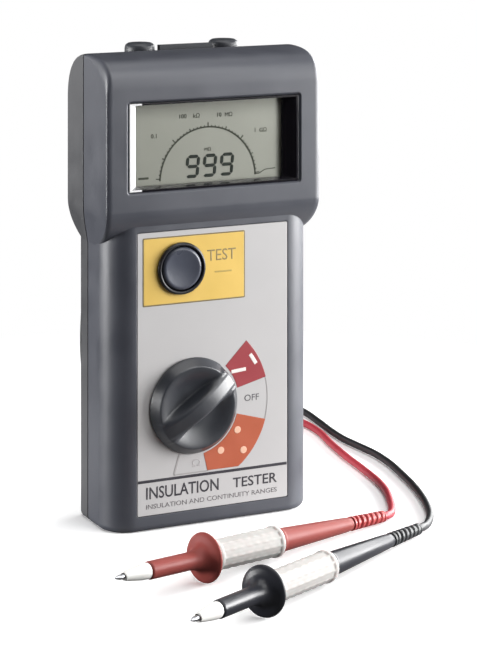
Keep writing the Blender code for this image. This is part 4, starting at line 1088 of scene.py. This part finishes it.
def lead(colour, side, tip, heading, stretch, route, skin, cable_skin):
    x = side * SOCKET_X
    plug_body, probe_body = f"{colour}_plug", f"{colour}_probe"
    plug = turned(
        f"{colour}_plug_shell",
        fillet([(0, PLUG_TOP - 0.2), (PLUG_R - 1.6, PLUG_TOP), (PLUG_R - 0.3, PLUG_TOP - 0.9), (PLUG_R, PLUG_TOP - 2.2), (PLUG_R, POCKET_FLOOR + 0.4), (0, POCKET_FLOOR + 0.4)], [0, 0.5, 0.5, 0.5, 0.4, 0], 4),
        (x, SOCKET_Y, 0), (0, 0, 1), DARK, steps=80,
    )
    arm = turned(
        "arm", fillet([(0, ARM_END), (3.0, ARM_END), (3.25, ARM_END - 3.0), (4.9, SOCKET_Y + 6.0), (5.0, SOCKET_Y), (0, SOCKET_Y)], [0, 0.5, 2.0, 2.0, 0, 0], 4),
        (x, 0, ARM_Z), (0, 1, 0), DARK, steps=64,
    )
    grooves = [
        turned(f"gr{k}", [(6.0, ARM_END - 3.4 - 2.4 * k), (6.0, ARM_END - 4.5 - 2.4 * k), (2.75 + 0.18 * k, ARM_END - 4.5 - 2.4 * k), (2.75 + 0.18 * k, ARM_END - 3.4 - 2.4 * k)], (x, 0, ARM_Z), (0, 1, 0), DARK, steps=48, closed=True)
        for k in range(4)
    ]
    carve(plug, adds=[arm])
    carve(plug, cutters=grooves + [
        rod("c1", (x, ARM_END - 5.0, ARM_Z), (x, ARM_END + 5, ARM_Z), CABLE_R + 0.3, segments=32),
        rod("c2", (x, SOCKET_Y, 170), (x, SOCKET_Y, POCKET_FLOOR + 3.4), 2.3, segments=32),
    ])
    plug.data.materials.clear()
    plug.data.materials.append(DARK)
    finish_shading(plug, 35)
    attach(plug, plug_body)
    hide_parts(f"{colour}_plug")
    pin = turned(f"{colour}_pin", fillet([(0, 21.0), (1.9, 21.0), (1.9, 0.8), (1.2, 0), (0, 0)], 0.2, 3), (x, SOCKET_Y, 160.1), (0, 0, 1), STEEL, steps=40)
    finish_shading(pin)
    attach(pin, plug_body)
    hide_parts(f"{colour}_plug_pin")

    yaw = math.radians(heading)
    rest = GUARD_R + FLOOR_GAP
    tail = CABLE_R + 1.4

    def along(s):
        return NOSE_LENGTH + (s - GUARD_AT) * (stretch if s > GUARD_AT else 1.0)

    guard_at, end_at = along(GUARD_AT), along(153.5)
    slope = (tail - rest) / (end_at - guard_at)
    axis = Vector((math.cos(yaw), math.sin(yaw), slope)).normalized()
    start = Vector((tip[0], tip[1], rest - slope * guard_at))

    def piece(name, node, profile, mat, steps=80, closed=False, wobble=None, sharp=38):
        o = turned(f"{colour}_{name}", [(r, along(s)) for r, s in profile], start, axis, mat, steps=steps, closed=closed, wobble=wobble)
        finish_shading(o, sharp)
        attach(o, probe_body)
        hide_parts(f"{colour}_{node}")
        return o

    piece("needle", "tip", fillet([(0, 39.0), (1.0, 39.0), (1.0, -3.2), (0.3, -5.45), (0, -5.6)], [0, 0.2, 0.8, 0.15, 0], 4), STEEL, 40)
    piece("sleeve", "tip_sleeve", fillet([(1.35, 11.0), (3.0, 11.0), (3.0, 8.6), (2.55, 4.6), (1.75, -1.0), (1.35, -1.2)], [0, 0.3, 2.0, 2.0, 0.3, 0], 5), SLEEVE, 64, closed=True)
    piece(
        "guard", "nose",
        fillet(
            [(0, 44.0), (5.0, 44.0), (5.0, 43.0), (GUARD_R - 1.0, 42.5), (GUARD_R, 41.6), (GUARD_R, 40.8), (GUARD_R - 1.0, 39.9), (5.6, 38.6), (4.1, 36.6), (3.5, 34.0), (3.4, 32.5), (3.4, 11.9), (3.1, 11.3), (1.35, 11.3), (1.35, 39.4), (0, 39.4)],
            [0, 0.2, 0.2, 0.8, 0.55, 0.55, 0.8, 1.6, 1.6, 1.6, 1.0, 0.3, 0.2, 0.1, 0.1, 0], 5,
        ),
        skin, 96,
    )

    def ribs(r, h, t):
        """Moulded panels round the collar: shallow raised ribs between its two rims."""
        s = GUARD_AT + (h - NOSE_LENGTH) / stretch
        if r < 5.5 or s < 47.5 or s > 81.0:
            return r
        wave = 0.5 + 0.5 * math.cos(12 * t)
        band = 0.5 + 0.5 * math.cos(2 * math.pi * (s - 47.5) / 4.8)
        return r - 0.28 * (1 - wave ** 3 * (0.35 + 0.65 * band))

    collar = [(0, 83.7), (5.5, 83.7), (6.15, 83.2), (6.15, 81.8), (5.9, 81.2)]
    collar += [(5.95, 81.0 - 33.5 * k / 56) for k in range(57)]
    collar += [(5.9, 47.2), (6.1, 46.6), (6.1, 45.0), (5.4, 44.3), (0, 44.3)]
    piece("collar_fine", "collar", collar, COLLAR, 144, wobble=ribs, sharp=60)

    piece(
        "grip", "handle",
        fillet(
            [(0, 128.0), (CABLE_R + 0.3, 128.0), (CABLE_R + 0.3, 131.4), (2.5, 131.4), (2.9, 128.6), (3.6, 112.0), (4.35, 93.0), (4.6, 87.0), (4.7, 86.0), (5.4, 85.4), (5.4, 84.3), (5.1, 84.0), (0, 84.0)],
            [0, 0.1, 0.1, 0.2, 1.5, 8, 5, 1.0, 0.4, 0.3, 0.3, 0.1, 0], 5,
        ),
        skin, 80,
    )

    def boot(r, h, t):
        """Strain relief: a helical rib winds round the boot with open grooves between."""
        s = GUARD_AT + (h - NOSE_LENGTH) / stretch
        if r < CABLE_R + 0.5 or s < 133.0 or s > 152.6:
            return r
        phase = (s - 133.0) / 3.3 + t / (2 * math.pi)
        w = 0.5 + 0.5 * math.cos(2 * math.pi * phase)
        deep = smoothstep(0.30, 0.62, w)
        return r - (r - CABLE_R - 0.36) * (1 - deep)

    relief = [(CABLE_R + 0.3, 153.5), (2.2, 153.5)]
    relief += [(2.3 + 0.6 * k / 90, 153.2 - 21.2 * k / 90) for k in range(91)]
    relief += [(2.9, 131.8), (CABLE_R + 0.3, 131.8)]
    piece("boot", "strain_relief", relief, BOOT_RED if colour == "red" else BOOT_BLACK, 64, closed=True, wobble=boot, sharp=60)

    inside = start + axis * along(128.6)
    way = [inside] + [start + axis * along(s) for s in (142.0, 153.0, 155.5)]
    way += [Vector(p) for p in route]
    way += [Vector((x, ARM_END + y, ARM_Z)) for y in (5.0, 1.0, -4.6)]
    line = smooth_path(way, 14)
    cable = tube(f"{colour}_cord", line, CABLE_R, cable_skin, 20)
    cable.data.shade_smooth()
    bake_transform(cable)
    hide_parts(f"{colour}_cable")


def boot_material(name, rib, groove):
    """The rib takes the handle's colour, and so do the grooves: the groove colour is not used."""
    return surface(name, rib, 0.42, grain=0.2, tint=0.06, edge=0.0)


BOOT_RED = boot_material("boot_red", (0.40, 0.045, 0.045), None)
BOOT_BLACK = boot_material("boot_black", (0.018, 0.020, 0.022), None)

RED_ROUTE = (
    (70.4, -44.0, ON_TABLE), (75.0, -36.6, ON_TABLE), (79.4, -27.4, ON_TABLE),
    (83.8, -17.0, ON_TABLE), (87.6, -4.0, ON_TABLE), (91.2, 17.0, ON_TABLE),
    (94.3, 39.0, ON_TABLE), (98.2, 60.0, ON_TABLE), (102.6, 80.0, ON_TABLE),
    (103.4, 98.0, ON_TABLE), (99.4, 116.0, ON_TABLE), (84.0, 128.0, ON_TABLE),
    (58.0, 124.0, 4.0), (34.0, 98.0, 38.0), (23.0, 70.0, 110.0), (20.2, 54.0, 165.0),
)
BLACK_ROUTE = (
    (76.2, -63.4, ON_TABLE), (83.0, -54.6, ON_TABLE), (88.4, -44.0, ON_TABLE),
    (93.6, -30.9, ON_TABLE), (98.6, -15.2, ON_TABLE), (103.2, 3.5, ON_TABLE),
    (106.8, 21.0, ON_TABLE), (108.3, 36.0, ON_TABLE), (107.8, 50.0, ON_TABLE),
    (107.2, 64.0, ON_TABLE), (108.6, 80.0, ON_TABLE), (111.0, 96.0, ON_TABLE),
    (113.2, 116.0, ON_TABLE), (110.6, 140.0, ON_TABLE), (90.0, 160.0, ON_TABLE),
    (52.0, 164.0, ON_TABLE), (14.0, 138.0, 6.0), (-8.0, 104.0, 42.0),
    (-17.5, 72.0, 112.0), (-19.5, 54.0, 165.0),
)
lead("red", 1, (-79.4, -100.2), 19.4, 0.932, RED_ROUTE, RED, RED_SKIN)
lead("black", -1, (-72.3, -151.3), 29.95, 1.024, BLACK_ROUTE, BLACK, BLACK_SKIN)

# ============================ stage, lights, camera ============================
floor_bm = bmesh.new()
bmesh.ops.create_grid(floor_bm, x_segments=4, y_segments=4, size=4.0)
FLOOR_MAT, nt, nd, ln, bsdf = nodes_of("floor_white")
bsdf.inputs["Roughness"].default_value = 0.9
bsdf.inputs["Specular IOR Level"].default_value = 0.0
# the sweep burns out to plain white away from the set, and what lies beyond it is unlit
pos = nd.new("ShaderNodeNewGeometry")
length = nd.new("ShaderNodeVectorMath")
length.operation = "LENGTH"
ln.new(pos.outputs["Position"], length.inputs[0])
fade = nd.new("ShaderNodeMapRange")
fade.inputs["From Min"].default_value = 0.10
fade.inputs["From Max"].default_value = 0.34
ln.new(length.outputs["Value"], fade.inputs["Value"])
seen = nd.new("ShaderNodeLightPath")
paper = nd.new("ShaderNodeMix")
paper.data_type = "RGBA"
# painted shade: for all but camera rays the floor's colour falls from 0.72 at the back right to 0.12 at the front left,
# so the bounce and reflections reaching the case's lower front and left side come out shaded
where = nd.new("ShaderNodeSeparateXYZ")
ln.new(pos.outputs["Position"], where.inputs[0])
side = nd.new("ShaderNodeMath")
side.operation = "ADD"
ln.new(where.outputs["X"], side.inputs[0])
ln.new(where.outputs["Y"], side.inputs[1])
painted_shade_bounce = nd.new("ShaderNodeMapRange")
painted_shade_bounce.inputs["From Min"].default_value = -0.10
painted_shade_bounce.inputs["From Max"].default_value = 0.03
painted_shade_bounce.inputs["To Min"].default_value = 0.12
painted_shade_bounce.inputs["To Max"].default_value = 0.72
ln.new(side.outputs[0], painted_shade_bounce.inputs["Value"])
ln.new(painted_shade_bounce.outputs["Result"], paper.inputs["A"])
paper.inputs["B"].default_value = (1.22, 1.22, 1.22, 1.0)
ln.new(seen.outputs["Is Camera Ray"], paper.inputs["Factor"])
ln.new(paper.outputs["Result"], bsdf.inputs["Base Color"])
glow = nd.new("ShaderNodeEmission")
glow.inputs["Color"].default_value = (1, 1, 1, 1)
ln.new(seen.outputs["Is Camera Ray"], glow.inputs["Strength"])
mixf = nd.new("ShaderNodeMixShader")
ln.new(fade.outputs["Result"], mixf.inputs["Fac"])
ln.new(bsdf.outputs["BSDF"], mixf.inputs[1])
ln.new(glow.outputs["Emission"], mixf.inputs[2])
ln.new(mixf.outputs["Shader"], nd["Material Output"].inputs["Surface"])
floor = from_bm("floor", floor_bm, FLOOR_MAT)

world = bpy.data.worlds.new("studio")
bpy.context.scene.world = world
world.use_nodes = True
wn, wl = world.node_tree.nodes, world.node_tree.links
background = wn["Background"]
path = wn.new("ShaderNodeLightPath")
mixw = wn.new("ShaderNodeMix")
mixw.data_type = "RGBA"
AMBIENT = 0.03
mixw.inputs["A"].default_value = (AMBIENT, AMBIENT, AMBIENT * 1.05, 1)
mixw.inputs["B"].default_value = (1, 1, 1, 1)
wl.new(path.outputs["Is Camera Ray"], mixw.inputs["Factor"])
wl.new(mixw.outputs["Result"], background.inputs["Color"])


def lamp(name, at, target, size, power, colour=(1, 1, 1), size_y=None):
    data = bpy.data.lights.new(name, "AREA")
    data.shape = "RECTANGLE"
    data.size = size
    data.size_y = size_y or size
    data.energy = power
    data.color = colour
    obj = bpy.data.objects.new(name, data)
    obj.location = at
    obj.rotation_euler = (Vector(target) - Vector(at)).to_track_quat("-Z", "Y").to_euler()
    bpy.context.scene.collection.objects.link(obj)
    return obj


# a large soft box in front to the right, a tall panel at the right, one behind to the
# left, and a soft ceiling; the front left stays dark
lamp("panel_right", (0.80, 0.10, 0.24), (0, 0, 0.10), 1.1, 14.5, size_y=0.46)
lamp("key_front", (0.62, -0.74, 0.36), (0, 0, 0.14), 0.7, 3.3, size_y=0.6)
lamp("key_high", (0.14, -0.42, 0.58), (0, 0, 0.17), 0.3, 1.25)
lamp("panel_left_rear", (-0.55, 1.0, 0.36), (0, 0, 0.12), 0.7, 1.4)
lamp("left_low", (-0.90, 0.25, 0.16), (0, 0, 0.08), 0.5, 11.0, size_y=0.28)
lamp("low_right", (0.62, -0.30, 0.14), (0, 0, 0.10), 0.5, 6.2, size_y=0.26)
lamp("ceiling", (0.0, 0.0, 1.1), (0, 0, 0.0), 0.9, 5.6)

CAM_YAW = -25.06
cam_data = bpy.data.cameras.new("camera")
cam_data.sensor_width = 36.0
cam_data.sensor_fit = "AUTO"
cam_data.lens = 123.79
cam = bpy.data.objects.new("camera", cam_data)
cam.location = (-0.4068, -0.8700, 0.2925)
cam.rotation_euler = (math.radians(90), 0, math.radians(CAM_YAW))
bpy.context.scene.collection.objects.link(cam)
bpy.context.scene.camera = cam
for field, value in (("shift_x", 0.0667), ("shift_y", -0.7734)):
    drive = cam_data.driver_add(field).driver
    drive.type = "SCRIPTED"
    var = drive.variables.new()
    var.name = "x"
    var.type = "TRANSFORMS"
    var.targets[0].id = cam
    var.targets[0].transform_type = "LOC_X"
    var.targets[0].transform_space = "WORLD_SPACE"
    drive.expression = f"{value} if abs(x + 0.4068) < 0.0005 else 0"

scene = bpy.context.scene
scene.view_settings.view_transform = "Standard"
scene.view_settings.look = "None"
